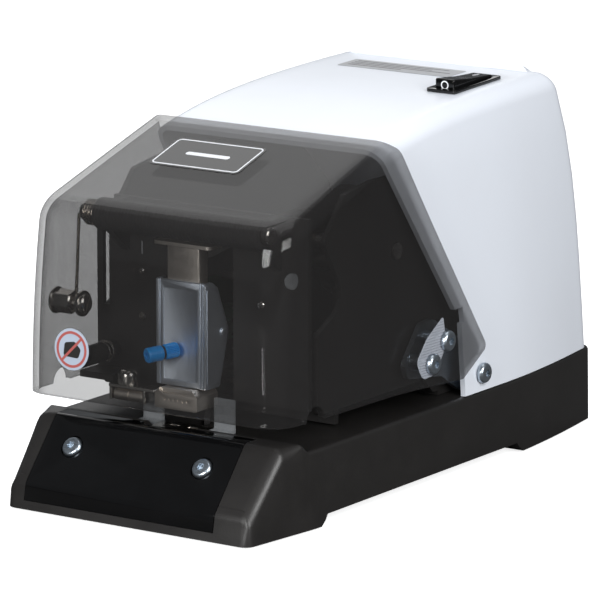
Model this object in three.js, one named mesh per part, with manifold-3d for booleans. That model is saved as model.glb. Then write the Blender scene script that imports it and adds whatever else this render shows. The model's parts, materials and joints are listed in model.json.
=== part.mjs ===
// An electric office stapler: a black base, a white rear housing, a smoked swing-up cover,
// a stapling head on a slide, and the motor, gears and rocking lever that drive it.
// Millimetres. +X is the stapler's own left-to-right as seen from the front, +Y runs from the
// nose to the rear, and +Z is up. The origin is on the table, under the middle of the base.
import * as THREE from "three";
import { mergeVertices } from "three/addons/utils/BufferGeometryUtils.js";
import Module from "manifold-3d";

const wasm = await Module();
wasm.setup();

// ---- Driving dimensions ------------------------------------------------

const GAP = 0.3; // between pieces that touch
const LENGTH = 300;
const FRONT = -LENGTH / 2;
const REAR = LENGTH / 2;

const BASE = {
  half: 72.6, // half the width along the middle of the base
  noseHalf: 66.8,
  tailHalf: 62.8,
  shoulder: -103, // where the nose has reached the full width
  tailFrom: 60, // where the rear starts to narrow
  table: 37, // height of the paper table
  noseTop: 41,
  lip: 12.8, // height of the upright front lip
  slopeTop: -124, // y of the top of the nose's slope
  wall: 3.5,
  floorGap: 1, // the shell's foot rims stand this far off the table, on rubber pads
  archHeight: 6,
  archFront: -100,
  archRear: 66,
};

const HOUSING = {
  foot: BASE.table + GAP,
  half: 71.8,
  draft: 0.073, // each side leans in by this much per millimetre of height
  wall: 3,
  rim: 9,
  frontEdge: 21, // y of the upright lower front edge
};

const COVER = {
  foot: 50.3,
  wall: 3,
  rim: 10,
  corner: 14,
  frontHalf: 71,
  rearHalf: 75.8,
  creaseY: -124,
  creaseZ: 138.9,
  roofSlope: 0.31,
};

const PIVOT = { y: 35.5, z: 46 }; // axis that the cover swings on
const COVER_SCREWS = [
  { y: -0.8, z: 68.4 },
  { y: -13.4, z: 59.8 },
];

const FRAME = { x: 57, thick: 2.5 }; // inner face of each side frame
const WALL_Y = -90; // front face of the black front plate

const HEAD = {
  half: 13.6,
  front: -106.3,
  top: 106,
  foot: 57,
  noseHalf: 11.7,
  noseFront: -110.6,
  noseFoot: 47.2,
};

const TUBE = { y: -105, z: 132, r: 7.4, half: 45.4 };
const LEVER = { y: -20, z: 112, shaft: 4 };
const CRANK = { y: 42, z: 88, shaft: 5 };
const ECCENTRIC = { r: 14, throw: 3.75, half: 7 };
const GEAR = { module: 1.8, teeth: 40, pinionTeeth: 10, x: 34, width: 9 };
const MOTOR = { r: 27, x0: -42, x1: 24 };

const ANVIL = { half: 14, front: -119.5, rear: -98, top: 38.2, groove: -103.9 };
const DEPTH = { x: -49, z: 66 }; // axis of the depth adjuster
const TRIGGER = { x: 0, y: -84, z: 27 };
const ROCKER = { x: 41.5, y: 65.5, half: 6.2 };
const INLET = { x: -26, z: 66, width: 31, height: 24 };

// ---- Materials ------------------------------------------------

const finish = (color, roughness, metalness, extra = {}) =>
  new THREE.MeshStandardMaterial({ color, roughness, metalness, ...extra });
const glossBlack = finish(0x0b0b0c, 0.18, 0);
const satinBlack = finish(0x2c2827, 0.55, 0);
const whitePaint = finish(0xe8ebf2, 0.42, 0);
const smokedClear = finish(0x3a3838, 0.1, 0, { transparent: true, opacity: 0.45 });
const clearPlastic = finish(0xc8cdd0, 0.12, 0, { transparent: true, opacity: 0.4 });
const zinc = finish(0xaab4bd, 0.32, 1);
const nickel = finish(0xb3aca2, 0.24, 1);
const darkSteel = finish(0x5c5854, 0.35, 1);
const blackPaint = finish(0x151413, 0.5, 0.2);
const rubber = finish(0x1a1a1a, 0.85, 0);
const bluePlastic = finish(0x0a62ad, 0.4, 0);
const boardGreen = finish(0x1f5a38, 0.6, 0);

// ---- Helpers ------------------------------------------------

const object = new THREE.Group();
const { cos, sin, PI, hypot, max } = Math;

// A geometry as a solid that can be joined and cut.
function solid(geometry) {
  const bare = new THREE.BufferGeometry();
  bare.setAttribute("position", geometry.getAttribute("position"));
  if (geometry.index) bare.setIndex(geometry.index);
  const merged = mergeVertices(bare, 1e-4);
  const corners = merged.index.array;
  const kept = [];
  for (let i = 0; i < corners.length; i += 3) {
    const [a, b, c] = corners.slice(i, i + 3);
    if (a !== b && b !== c && a !== c) kept.push(a, b, c);
  }
  const mesh = new wasm.Mesh({
    numProp: 3,
    vertProperties: new Float32Array(merged.attributes.position.array),
    triVerts: new Uint32Array(kept),
  });
  return new wasm.Manifold(mesh);
}

const join = (...parts) => parts.reduce((a, b) => a.add(b));
const cut = (body, ...tools) => tools.reduce((a, b) => a.subtract(b), body);

// Adds a solid to the object as a named mesh.
function place(name, body, material) {
  const { vertProperties, triVerts } = body.getMesh();
  const geometry = new THREE.BufferGeometry();
  geometry.setAttribute("position", new THREE.BufferAttribute(vertProperties, 3));
  geometry.setIndex(new THREE.BufferAttribute(triVerts, 1));
  geometry.computeVertexNormals();
  const mesh = new THREE.Mesh(geometry, material);
  mesh.name = name;
  object.add(mesh);
}

function block(x0, x1, y0, y1, z0, z1) {
  const geometry = new THREE.BoxGeometry(x1 - x0, y1 - y0, z1 - z0);
  return solid(geometry.translate((x0 + x1) / 2, (y0 + y1) / 2, (z0 + z1) / 2));
}

// Round bars along X, Y or Z, from one end to the other.
function barX(r, x0, x1, y, z, sides = 18) {
  const geometry = new THREE.CylinderGeometry(r, r, x1 - x0, sides).rotateZ(PI / 2);
  return solid(geometry.translate((x0 + x1) / 2, y, z));
}

function barY(r, y0, y1, x, z, sides = 18) {
  return solid(new THREE.CylinderGeometry(r, r, y1 - y0, sides).translate(x, (y0 + y1) / 2, z));
}

function barZ(r, z0, z1, x, y, sides = 18) {
  const geometry = new THREE.CylinderGeometry(r, r, z1 - z0, sides).rotateX(PI / 2);
  return solid(geometry.translate(x, y, (z0 + z1) / 2));
}

function extrude(points, depth) {
  const shape = new THREE.Shape(points.map(([u, v]) => new THREE.Vector2(u, v)));
  return new THREE.ExtrudeGeometry(shape, { depth, bevelEnabled: false });
}

// An outline of [y, z] points, pushed along X from x0 to x1.
function sideways(points, x0, x1) {
  const turn = new THREE.Matrix4().makeBasis(
    new THREE.Vector3(0, 1, 0),
    new THREE.Vector3(0, 0, 1),
    new THREE.Vector3(1, 0, 0),
  );
  return solid(extrude(points, x1 - x0).applyMatrix4(turn).translate(x0, 0, 0));
}

// An outline of [x, z] points, pushed back from y0 to y1.
const backward = (points, y0, y1) => solid(extrude(points, y1 - y0).rotateX(PI / 2).translate(0, y1, 0));

// The same outline with each corner replaced by an arc of the given radius (0 keeps it sharp).
function rounded(points, radii, steps = 4) {
  const count = points.length;
  return points.flatMap((corner, i) => {
    const r = Array.isArray(radii) ? radii[i] : radii;
    if (!r) return [corner];
    const here = new THREE.Vector2(...corner);
    const back = new THREE.Vector2(...points[(i + count - 1) % count]).sub(here).normalize();
    const on = new THREE.Vector2(...points[(i + 1) % count]).sub(here).normalize();
    const half = Math.acos(THREE.MathUtils.clamp(back.dot(on), -1, 1)) / 2;
    const centre = here.clone().addScaledVector(back.clone().add(on).normalize(), r / sin(half));
    const start = here.clone().addScaledVector(back, r / Math.tan(half)).sub(centre);
    const end = here.clone().addScaledVector(on, r / Math.tan(half)).sub(centre);
    const sweep = start.angleTo(end) * Math.sign(start.cross(end));
    return Array.from({ length: steps + 1 }, (_, k) => {
      const turned = start.clone().rotateAround(new THREE.Vector2(), (sweep * k) / steps);
      return [centre.x + turned.x, centre.y + turned.y];
    });
  });
}

// Half of a plan outline, from the rear wall round the +X side to the front wall.
function flank({ front, rear, half, frontRadius, rearRadius, stations = 12, arc = 4 }) {
  const points = [];
  const rearY = rear - rearRadius;
  const frontY = front + frontRadius;
  for (let k = 0; k <= arc; k++) {
    const a = (PI / 2) * (1 - k / arc);
    points.push([half(rearY) - rearRadius * (1 - cos(a)), rearY + rearRadius * sin(a)]);
  }
  for (let k = 1; k < stations; k++) {
    const y = rearY + ((frontY - rearY) * k) / stations;
    points.push([half(y), y]);
  }
  for (let k = 0; k <= arc; k++) {
    const a = (-PI / 2) * (k / arc);
    points.push([half(frontY) - frontRadius * (1 - cos(a)), frontY + frontRadius * sin(a)]);
  }
  return points;
}

// A drafted body with a rounded rim under a roof that rises and falls along Y.
// plan(z) is the flank at that height, roof(y) the height of the roof.
function moulding({ plan, roof, rim, foot, walls = 4, rims = 4 }) {
  const count = plan(foot).length;
  const settle = (i, heightAt) => {
    let z = foot;
    let point;
    for (let round = 0; round < 4; round++) {
      point = plan(z)[i];
      z = heightAt(point[1]);
    }
    return [point[0], point[1], z];
  };
  const inward = (z, i) => {
    const side = plan(z);
    const a = side[max(i - 1, 0)];
    const b = side[Math.min(i + 1, count - 1)];
    const along = [b[0] - a[0], b[1] - a[1]];
    const size = hypot(...along);
    return [along[1] / size, -along[0] / size];
  };
  const rings = [];
  for (let k = 0; k <= walls; k++) {
    const share = k / walls;
    rings.push(
      Array.from({ length: count }, (_, i) => settle(i, (y) => foot + (roof(y) - rim - foot) * share)),
    );
  }
  for (let k = 1; k <= rims; k++) {
    const a = ((PI / 2) * k) / rims;
    rings.push(
      Array.from({ length: count }, (_, i) => {
        const [x, y, z] = settle(i, (at) => roof(at) - rim + rim * sin(a));
        const [nx, ny] = inward(z, i);
        const inset = rim * (1 - cos(a));
        return [x + nx * inset, y + ny * inset, roof(y + ny * inset) - rim + rim * sin(a)];
      }),
    );
  }
  return loft(rings.map((ring) => [...ring, ...ring.map(([x, y, z]) => [-x, y, z]).reverse()]));
}

// A skin through rings of [x, y, z] points. Strips from each point to its mirror close both ends.
function loft(rings) {
  const n = rings[0].length;
  const index = [];
  const quad = (a, b, c, d) => index.push(a, b, c, a, c, d);
  for (let r = 0; r + 1 < rings.length; r++)
    for (let i = 0; i < n; i++) {
      const j = (i + 1) % n;
      quad(r * n + j, r * n + i, (r + 1) * n + i, (r + 1) * n + j);
    }
  const last = (rings.length - 1) * n;
  for (let i = 0; i < n / 2 - 1; i++) {
    quad(i, i + 1, n - 2 - i, n - 1 - i);
    quad(last + n - 1 - i, last + n - 2 - i, last + i + 1, last + i);
  }
  const geometry = new THREE.BufferGeometry();
  geometry.setAttribute("position", new THREE.Float32BufferAttribute(rings.flat(2), 3));
  geometry.setIndex(index);
  return solid(geometry);
}

// A lathe profile of [radius, height] points, turned about its own axis and then laid along a direction.
function turned(profile, origin, direction, sides = 18) {
  const geometry = new THREE.LatheGeometry(
    profile.map(([r, h]) => new THREE.Vector2(r, h)),
    sides,
  );
  const aim = new THREE.Quaternion().setFromUnitVectors(
    new THREE.Vector3(0, 1, 0),
    new THREE.Vector3(...direction).normalize(),
  );
  return solid(geometry.applyQuaternion(aim).translate(...origin));
}

// A pan-head screw with a hexalobular recess's depth as a plain socket. origin is under the head.
function screw(origin, direction, { head = 4.9, rise = 3, shank = 2, length = 8 } = {}) {
  const dome = [];
  for (let k = 0; k <= 3; k++) {
    const a = ((PI / 2) * k) / 3;
    dome.push([head - 1.2 * (1 - cos(a)), rise - 1.6 + 1.6 * sin(a)]);
  }
  const profile = [[0, -length], [shank, -length], [shank, 0], [head, 0], ...dome];
  profile.push([1.9, rise], [1.9, rise - 1.6], [0, rise - 1.6]);
  return turned(profile, origin, direction, 16);
}

// A tube along a curve, as an extrusion of a round section.
function wire(curve, r, steps, sides = 8) {
  const section = new THREE.Shape();
  for (let k = 0; k < sides; k++) {
    const a = (2 * PI * k) / sides;
    if (k) section.lineTo(r * cos(a), r * sin(a));
    else section.moveTo(r, 0);
  }
  return solid(new THREE.ExtrudeGeometry(section, { steps, extrudePath: curve, bevelEnabled: false }));
}

class Helix extends THREE.Curve {
  constructor(centre, r, pitch, turns, along) {
    super();
    Object.assign(this, { centre, r, pitch, turns, along });
  }
  getPoint(t, target = new THREE.Vector3()) {
    const a = 2 * PI * this.turns * t;
    const run = this.pitch * this.turns * t;
    const [x, y, z] = this.centre;
    if (this.along === "x") return target.set(x + run, y - this.r * cos(a), z + this.r * sin(a));
    return target.set(x + this.r * cos(a), y + this.r * sin(a), z + run);
  }
}

// ---- Base ------------------------------------------------

function baseHalf(y) {
  const { half, noseHalf, tailHalf, shoulder, tailFrom } = BASE;
  if (y < shoulder) return half - ((half - noseHalf) * (shoulder - y)) / (shoulder - FRONT);
  if (y > tailFrom) return half - (half - tailHalf) * ((y - tailFrom) / (REAR - tailFrom)) ** 1.6;
  return half;
}

const noseShare = (y) => max(BASE.shoulder - y, 0) / (BASE.shoulder - FRONT);

function baseForm(inset, foot) {
  const plan = (z) =>
    flank({
      front: FRONT + inset,
      rear: REAR - inset,
      half: (y) => baseHalf(y) - inset - (0.02 + 0.07 * noseShare(y)) * z,
      frontRadius: 4,
      rearRadius: 6,
      stations: 12,
      arc: 3,
    });
  return moulding({ plan, roof: () => 44, rim: 1, foot, walls: 1, rims: 1 });
}

// The side view of the base, with its sloped nose, set in from the outer surface.
function baseProfile(inset, foot) {
  const { lip, slopeTop, noseTop, table } = BASE;
  const points = [
    [FRONT + inset, foot],
    [REAR - inset, foot],
    [REAR - inset, table - inset],
    [-108, table - inset],
    [-112, noseTop - inset],
    [slopeTop + 0.4 * inset, noseTop - inset],
    [FRONT + 2 + inset, lip - 0.3 * inset],
  ];
  return rounded(points, [0, 0, inset ? 0 : 2.5, 3, 3, inset ? 0 : 2, inset ? 0 : 1.5]);
}

// The arch between the front and rear feet, right across the base.
const archProfile = rounded(
  [
    [BASE.archFront, -2],
    [BASE.archRear + 6, -2],
    [BASE.archRear, BASE.archHeight],
    [BASE.archFront + 5, BASE.archHeight],
  ],
  [0, 0, 1.5, 6],
);

const panel = { x0: -57.4, x1: 47.6 };
// The sloped front panel lies in a step of the nose: its outline from the top edge down over the lip.
function panelOutline(depth) {
  const { slopeTop, noseTop, lip } = BASE;
  return [
    [FRONT + 1.2 - 3, 5],
    [FRONT + 1.2 + depth, 5],
    [FRONT + 2 + depth, lip - 0.4 * depth],
    [slopeTop + 0.8 * depth + 0.6, noseTop - depth],
    [slopeTop + 9, noseTop - depth],
    [slopeTop + 9, noseTop + 3],
    [FRONT - 3, noseTop + 3],
  ];
}

const nosePocket = sideways(panelOutline(3), panel.x0, panel.x1);
const noseSlope = Math.atan2(BASE.noseTop - BASE.lip, BASE.slopeTop - (FRONT + 2));
const noseNormal = [0, -sin(noseSlope), cos(noseSlope)];
// A point on the slope, measured as a share of the way up from the lip.
function onSlope(x, share, lift = 0) {
  const { lip, slopeTop, noseTop } = BASE;
  return [
    x,
    FRONT + 2 + (slopeTop - FRONT - 2) * share + noseNormal[1] * lift,
    lip + (noseTop - lip) * share + noseNormal[2] * lift,
  ];
}
const noseScrews = [-41, 31].map((x) => ({ x, seat: onSlope(x, 0.58, -1.6) }));

const outerBase = baseForm(0, BASE.floorGap).intersect(
  sideways(baseProfile(0, BASE.floorGap), -90, 90),
);
const innerBase = baseForm(BASE.wall, -5).intersect(sideways(baseProfile(BASE.wall, -5), -90, 90));
const anvilPocket = block(
  -ANVIL.half - GAP,
  ANVIL.half + GAP,
  ANVIL.front - GAP,
  ANVIL.rear + GAP,
  BASE.table - 3,
  BASE.noseTop + 5,
);
const triggerSlot = block(-3.5, 3.5, TRIGGER.y - 9, TRIGGER.y + 12, 20, 50);
const screwPost = ({ x, seat }) => {
  const post = turned([[0, -9], [4.5, -9], [4.5, -1.4], [0, -1.4]], seat, noseNormal, 12);
  return post;
};
const screwBore = ({ seat }) => turned([[0, -12], [2.25, -12], [2.25, 6], [0, 6]], seat, noseNormal, 16);

let baseShell = cut(outerBase, innerBase, sideways(archProfile, -90, 90), nosePocket);
// The nose keeps a wall behind the pocket, with the posts that take the panel's screws.
const noseBacking = cut(
  sideways(panelOutline(6.4), panel.x0 - 2, panel.x1 + 2),
  sideways(panelOutline(3), panel.x0 - 5, panel.x1 + 5),
).intersect(outerBase);
baseShell = join(baseShell, noseBacking, ...noseScrews.map(screwPost).map((p) => p.intersect(outerBase)));
baseShell = cut(baseShell, nosePocket, anvilPocket, triggerSlot, ...noseScrews.map(screwBore));
// Ribs under the table carry the housing and the side frames.
const baseRibs = [-60, 0, 70].map((y) => block(-69, 69, y - 1.5, y + 1.5, 10, BASE.table - 2));
baseShell = cut(join(baseShell, ...baseRibs), block(-10, 10, TRIGGER.y - 12, TRIGGER.y + 30, 10, 32));
place("base_shell", baseShell, satinBlack);

let nosePanel = nosePocket
  .intersect(outerBase)
  .intersect(sideways(panelOutline(3 - GAP), panel.x0 + GAP, panel.x1 - GAP));
const counterbore = ({ seat }) => turned([[0, 0], [5.6, 0], [5.6, 9], [0, 9]], seat, noseNormal);
nosePanel = cut(nosePanel, ...noseScrews.map(counterbore), ...noseScrews.map(screwBore));
nosePanel = cut(nosePanel, anvilPocket);
place("nose_panel", nosePanel, glossBlack);
noseScrews.forEach(({ x, seat }) => {
  const head = screw(seat.map((v, k) => v + noseNormal[k] * GAP), noseNormal, { length: 7, rise: 2.6 });
  place(`nose_screw_${x < 0 ? "left" : "right"}`, head, zinc);
});

// The bottom plate closes the base between the arch and the ribs.
const plateTop = 9.4;
const plateOutline = baseForm(BASE.wall + GAP, -5);
const basePlate = plateOutline.intersect(block(-90, 90, FRONT + 9, REAR - 5, plateTop - 1.5, plateTop));
place("base_plate", basePlate, blackPaint);

const footSpots = [
  ["front_left", -50, -128],
  ["front_right", 50, -128],
  ["rear_left", -50, 122],
  ["rear_right", 50, 122],
];
footSpots.forEach(([name, x, y]) => {
  const profile = [[0, 0], [8.2, 0], [9, 1.2], [9, plateTop - 1.5 - GAP], [0, plateTop - 1.5 - GAP]];
  place(`foot_${name}`, turned(profile, [x, y, 0], [0, 0, 1]), rubber);
});

// The anvil, with the two grooves that curl the staple's legs.
const anvilBlock = block(-ANVIL.half, ANVIL.half, ANVIL.front, ANVIL.rear, BASE.table - 2.7, ANVIL.top);
const groove = (x) =>
  turned([[0, -1.2], [1.1, -0.9], [1.5, 0], [1.5, 3], [0, 3]], [x, ANVIL.groove, ANVIL.top], [0, 0, 1], 10);
place("anvil", cut(anvilBlock, ...[-5, -2.4, 2.4, 5].map(groove)), nickel);

// Clear fingers on either side of the head keep fingertips out of the staple's way.
[-1, 1].forEach((side) => {
  const outline = rounded(
    [
      [side * 14.4, BASE.table + GAP],
      [side * 25, BASE.table + GAP],
      [side * 25, 53],
      [side * 14.4, 53],
    ],
    [0, 0, 2, 2],
  );
  const finger = join(
    backward(outline, -101, -99),
    block(side < 0 ? -25 : 14.4, side < 0 ? -14.4 : 25, -107, -99, BASE.table + GAP, BASE.table + 1.8),
  );
  place(`paper_guard_${side < 0 ? "left" : "right"}`, finger, clearPlastic);
});

// The trigger: paper pushed into the throat tips it back onto the small switch under the table.
const triggerLever = cut(
  join(
    sideways(
      rounded(
        [
          [TRIGGER.y - 3, TRIGGER.z - 3],
          [TRIGGER.y + 3, TRIGGER.z - 3],
          [TRIGGER.y + 1.5, 45],
          [TRIGGER.y - 1.5, 45],
        ],
        1,
      ),
      -1.5,
      1.5,
    ),
    barX(4, -2.5, 2.5, TRIGGER.y, TRIGGER.z),
  ),
  barX(1.7, -4, 4, TRIGGER.y, TRIGGER.z, 16),
);
place("trigger_lever", triggerLever, blackPaint);
place(
  "trigger_switch",
  join(
    block(-4, 4, TRIGGER.y + 8, TRIGGER.y + 26, 13, 24),
    block(-1.5, 1.5, TRIGGER.y + 9, TRIGGER.y + 11, 24, 25.5),
    barX(1.5, -8, 8, TRIGGER.y, TRIGGER.z, 16),
    block(-8, -5, TRIGGER.y - 3, TRIGGER.y + 12, 20, 30),
    block(5, 8, TRIGGER.y - 3, TRIGGER.y + 12, 20, 30),
    block(-8, 8, TRIGGER.y + 9, TRIGGER.y + 12, 14, 22),
  ),
  blackPaint,
);

// ---- Rear housing ------------------------------------------------

function housingRear(z) {
  const up = (z - HOUSING.foot) / 135;
  return 146.6 - 12 * up - 14 * up ** 4;
}

function housingHalf(y, z) {
  const up = z - HOUSING.foot;
  const narrowing = y > BASE.tailFrom ? 9.6 * ((y - BASE.tailFrom) / (REAR - BASE.tailFrom)) ** 1.6 : 0;
  return HOUSING.half - HOUSING.draft * up - narrowing * (1 - 0.0058 * up);
}

// The roof climbs from under the cover and levels off towards the rear.
const housingRoof = (y) => 177 - 21.5 * Math.exp(-(y + 58) / 52);

function housingForm(inset, foot) {
  const plan = (z) =>
    flank({
      front: -90 + inset,
      rear: housingRear(z) - inset,
      half: (y) => housingHalf(y, z) - inset,
      frontRadius: 2,
      rearRadius: 9 - 0.6 * inset,
    });
  const roof = (y) => housingRoof(max(y, -58)) - inset;
  return moulding({ plan, roof, rim: HOUSING.rim - 0.6 * inset, foot });
}

// The front of the housing is cut on the slant, to go in under the cover.
const housingFront = [
  [HOUSING.frontEdge, 0],
  [HOUSING.frontEdge, 72],
  [-56, 186],
  [200, 186],
  [200, 0],
];
const frontCut = sideways(housingFront, -100, 100);
const switchHole = block(ROCKER.x - 7, ROCKER.x + 7, ROCKER.y - 19.5, ROCKER.y + 19.5, 160, 200);
const inletHole = block(
  INLET.x - INLET.width / 2,
  INLET.x + INLET.width / 2,
  120,
  160,
  INLET.z - INLET.height / 2,
  INLET.z + INLET.height / 2,
);
let housing = cut(housingForm(0, HOUSING.foot), housingForm(HOUSING.wall, HOUSING.foot - 10));
housing = cut(housing.intersect(frontCut), switchHole, inletHole);
housing = cut(housing, barX(2.3, -90, 90, PIVOT.y, PIVOT.z, 16));
place("rear_housing", housing, whitePaint);

const hingeFace = housingHalf(PIVOT.y, PIVOT.z); // the side wall at the pivot
[-1, 1].forEach((side) => {
  const name = `hinge_screw_${side < 0 ? "left" : "right"}`;
  const seat = [side * (hingeFace + 0.7), PIVOT.y, PIVOT.z];
  place(name, screw(seat, [side, 0, 0], { length: 10.4, rise: 2.8 }), zinc);
});

// The mains switch: a bezel in the roof, and its rocker.
const roofTilt = (housingRoof(ROCKER.y + 15) - housingRoof(ROCKER.y - 15)) / 30;
const switchZ = housingRoof(ROCKER.y);
const tipUp = (geometry, degrees) => geometry.rotateX((degrees * PI) / 180);
const roofAngle = (Math.atan(roofTilt) * 180) / PI;
function switchBody(halfX, halfY, z0, z1, tilt) {
  const geometry = new THREE.BoxGeometry(2 * halfX, 2 * halfY, z1 - z0).translate(0, 0, (z0 + z1) / 2);
  return solid(tipUp(geometry, tilt).translate(ROCKER.x, ROCKER.y, switchZ));
}
const bezel = cut(
  join(switchBody(8.2, 20.6, GAP, 1.6, roofAngle), switchBody(6.6, 19, -22, 1, roofAngle)),
  switchBody(ROCKER.half + 0.3 - 1, 17.6, -9, 5, roofAngle),
);
place("switch_bezel", bezel, glossBlack);
const rockerShape = rounded(
  [
    [-16.8, -3.5],
    [0, -5.5],
    [16.8, -3.5],
    [16.6, 2.6],
    [0, 3.8],
    [-16.6, 6],
  ],
  [0.6, 2, 0.6, 0.8, 8, 0.8],
);
const rockerHalf = ROCKER.half - 1;
const rocker = new THREE.Matrix4().makeRotationX((roofAngle * PI) / 180);
rocker.setPosition(ROCKER.x, ROCKER.y, switchZ);
const rockerGeometry = extrude(rockerShape, 2 * rockerHalf)
  .translate(0, 0, -rockerHalf)
  .applyMatrix4(
    new THREE.Matrix4().makeBasis(
      new THREE.Vector3(0, 1, 0),
      new THREE.Vector3(0, 0, 1),
      new THREE.Vector3(1, 0, 0),
    ),
  )
  .applyMatrix4(rocker);
place("rocker", solid(rockerGeometry), glossBlack);

// The mains inlet in the rear wall: a three-pin socket in a flanged shroud.
const inletFace = housingRear(INLET.z - 14) + GAP;
const inletBody = cut(
  join(
    block(INLET.x - 15.2, INLET.x + 15.2, inletFace - 24, inletFace + 2, INLET.z - 11.7, INLET.z + 11.7),
    block(INLET.x - 18, INLET.x + 18, inletFace, inletFace + 2, INLET.z - 14, INLET.z + 14),
  ),
  block(INLET.x - 12.2, INLET.x + 12.2, inletFace - 17, inletFace + 5, INLET.z - 8.3, INLET.z + 8.3),
);
const pin = (x, z) =>
  block(INLET.x + x - 1, INLET.x + x + 1, inletFace - 18, inletFace - 3, INLET.z + z - 2, INLET.z + z + 2);
place("mains_inlet", join(inletBody, pin(-7, -2), pin(7, -2), pin(0, 4)), satinBlack);

// ---- Smoked cover ------------------------------------------------

const coverFront = (z) => -132.6 + 6.6 * (max(z - 55, 0) / 85) ** 2;

function coverHalf(y, z) {
  const { frontHalf, rearHalf } = COVER;
  const share = Math.min((y + 131) / 141, 1);
  const low = frontHalf + (rearHalf - frontHalf) * share;
  const high = 70 - 1.6 * share;
  return low + (high - low) * ((z - 50) / 115);
}

const coverRoof = (y) => COVER.creaseZ + COVER.roofSlope * (y - COVER.creaseY);

function coverForm(inset, foot) {
  const plan = (z) =>
    flank({
      front: coverFront(z) + inset,
      rear: 60,
      half: (y) => coverHalf(y, z) - inset,
      frontRadius: COVER.corner - inset,
      rearRadius: 1,
      stations: 8,
      arc: 5,
    });
  const roof = (y) => coverRoof(y) - inset * 1.05;
  return moulding({ plan, roof, rim: COVER.rim - inset, foot });
}

// The cover's side view: a level foot, a short chamfer behind, and the long slanted rear edge.
const coverSide = rounded(
  [
    [-150, COVER.foot + 1],
    [-100, COVER.foot],
    [-40, COVER.foot],
    [12.5, 47.9],
    [34.2, 59.4],
    [-31.5, 162],
    [-39.5, 168],
    [-40.5, 230],
    [-150, 230],
  ],
  [0, 0, 0, 1.5, 3, 5, 0, 0, 0],
);
const coverNotch = barX(7, -100, 100, -104, COVER.foot - 0.4, 28);
const coverBores = COVER_SCREWS.map(({ y, z }) => barX(2.4, -100, 100, y, z, 16));
const standoff = { y: -110, z: 90 };
let cover = cut(coverForm(0, 30), coverForm(COVER.wall, 20));
cover = cut(cover.intersect(sideways(coverSide, -100, 100)), coverNotch, ...coverBores);
cover = cut(cover, barX(1.8, -100, -40, standoff.y, standoff.z, 16));
place("smoked_cover", cover, smokedClear);

const bothSides = [-1, 1];
const sideName = (side) => (side < 0 ? "left" : "right");
const armX = 62; // inner face of each swing arm
const armOutline = rounded(
  [
    [PIVOT.y + 8, PIVOT.z - 8],
    [PIVOT.y + 8, PIVOT.z + 8],
    [COVER_SCREWS[0].y + 5, COVER_SCREWS[0].z + 8],
    [COVER_SCREWS[0].y - 5, COVER_SCREWS[0].z + 8],
    [COVER_SCREWS[1].y - 7, COVER_SCREWS[1].z - 1],
    [COVER_SCREWS[1].y - 4, COVER_SCREWS[1].z - 8],
    [PIVOT.y - 24, PIVOT.z + 2],
    [PIVOT.y - 8, PIVOT.z - 8],
  ],
  [7, 7, 5, 5, 4, 4, 6, 7],
);
bothSides.forEach((side) => {
  const [x0, x1] = side < 0 ? [-armX - 2.5, -armX] : [armX, armX + 2.5];
  const arm = sideways(armOutline, x0, x1);
  // Turned bosses reach out from the arm to the inside of the cover.
  const bosses = COVER_SCREWS.map(({ y, z }) => {
    const reach = coverHalf(y, z + 5) - COVER.wall - GAP - 0.5;
    return side < 0 ? barX(3.9, -reach, -armX - 1, y, z) : barX(3.9, armX + 1, reach, y, z);
  });
  const holes = COVER_SCREWS.map(({ y, z }) => barX(2.3, -90, 90, y, z, 16));
  const pivotHole = barX(2.3, -90, 90, PIVOT.y, PIVOT.z, 16);
  place(`swing_arm_${sideName(side)}`, cut(join(arm, ...bosses), ...holes, pivotHole), zinc);
  COVER_SCREWS.forEach(({ y, z }, k) => {
    const seat = [side * (coverHalf(y, z - 5) + 0.2), y, z];
    const name = `cover_screw_${sideName(side)}_${k ? "lower" : "upper"}`;
    place(name, screw(seat, [side, 0, 0], { length: seat[0] * side - armX - 0.4 }), zinc);
  });
});

// The hexagonal post on the cover's left wall that the spring's leg hooks on, and its washer.
const postOuter = coverHalf(standoff.y, standoff.z) - COVER.wall - GAP - 0.3;
const post = join(
  turned([[0, 0], [5.6, 0], [5.6, 9], [0, 9]], [-postOuter + 1, standoff.y, standoff.z], [1, 0, 0], 6),
  turned([[0, 0], [6.2, 0], [6.2, 1.2], [0, 1.2]], [-postOuter, standoff.y, standoff.z], [1, 0, 0]),
  turned([[0, 0], [2.4, 0], [2.4, 15.6], [0, 15.6]], [-postOuter, standoff.y, standoff.z], [1, 0, 0], 16),
  turned(
    [[0, 0], [6, 0], [6, 1], [4.6, 1.2], [4.4, 2.4], [3.4, 3.2], [0, 3.4]],
    [-postOuter + 14.8, standoff.y, standoff.z],
    [1, 0, 0],
  ),
);
place("spring_post", post, nickel);
// A rubber bumper inside the cover's right wall.
const bumperX = coverHalf(-114, 115) - COVER.wall - GAP - 0.4;
place(
  "cover_bumper",
  turned([[0, 0], [3.6, 0], [3.6, 1.6], [2.8, 3], [1.4, 3.8], [0, 4]], [bumperX, -114, 115], [-1, 0, 0]),
  clearPlastic,
);

// ---- Frames, tube and torsion spring ------------------------------------------------

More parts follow.
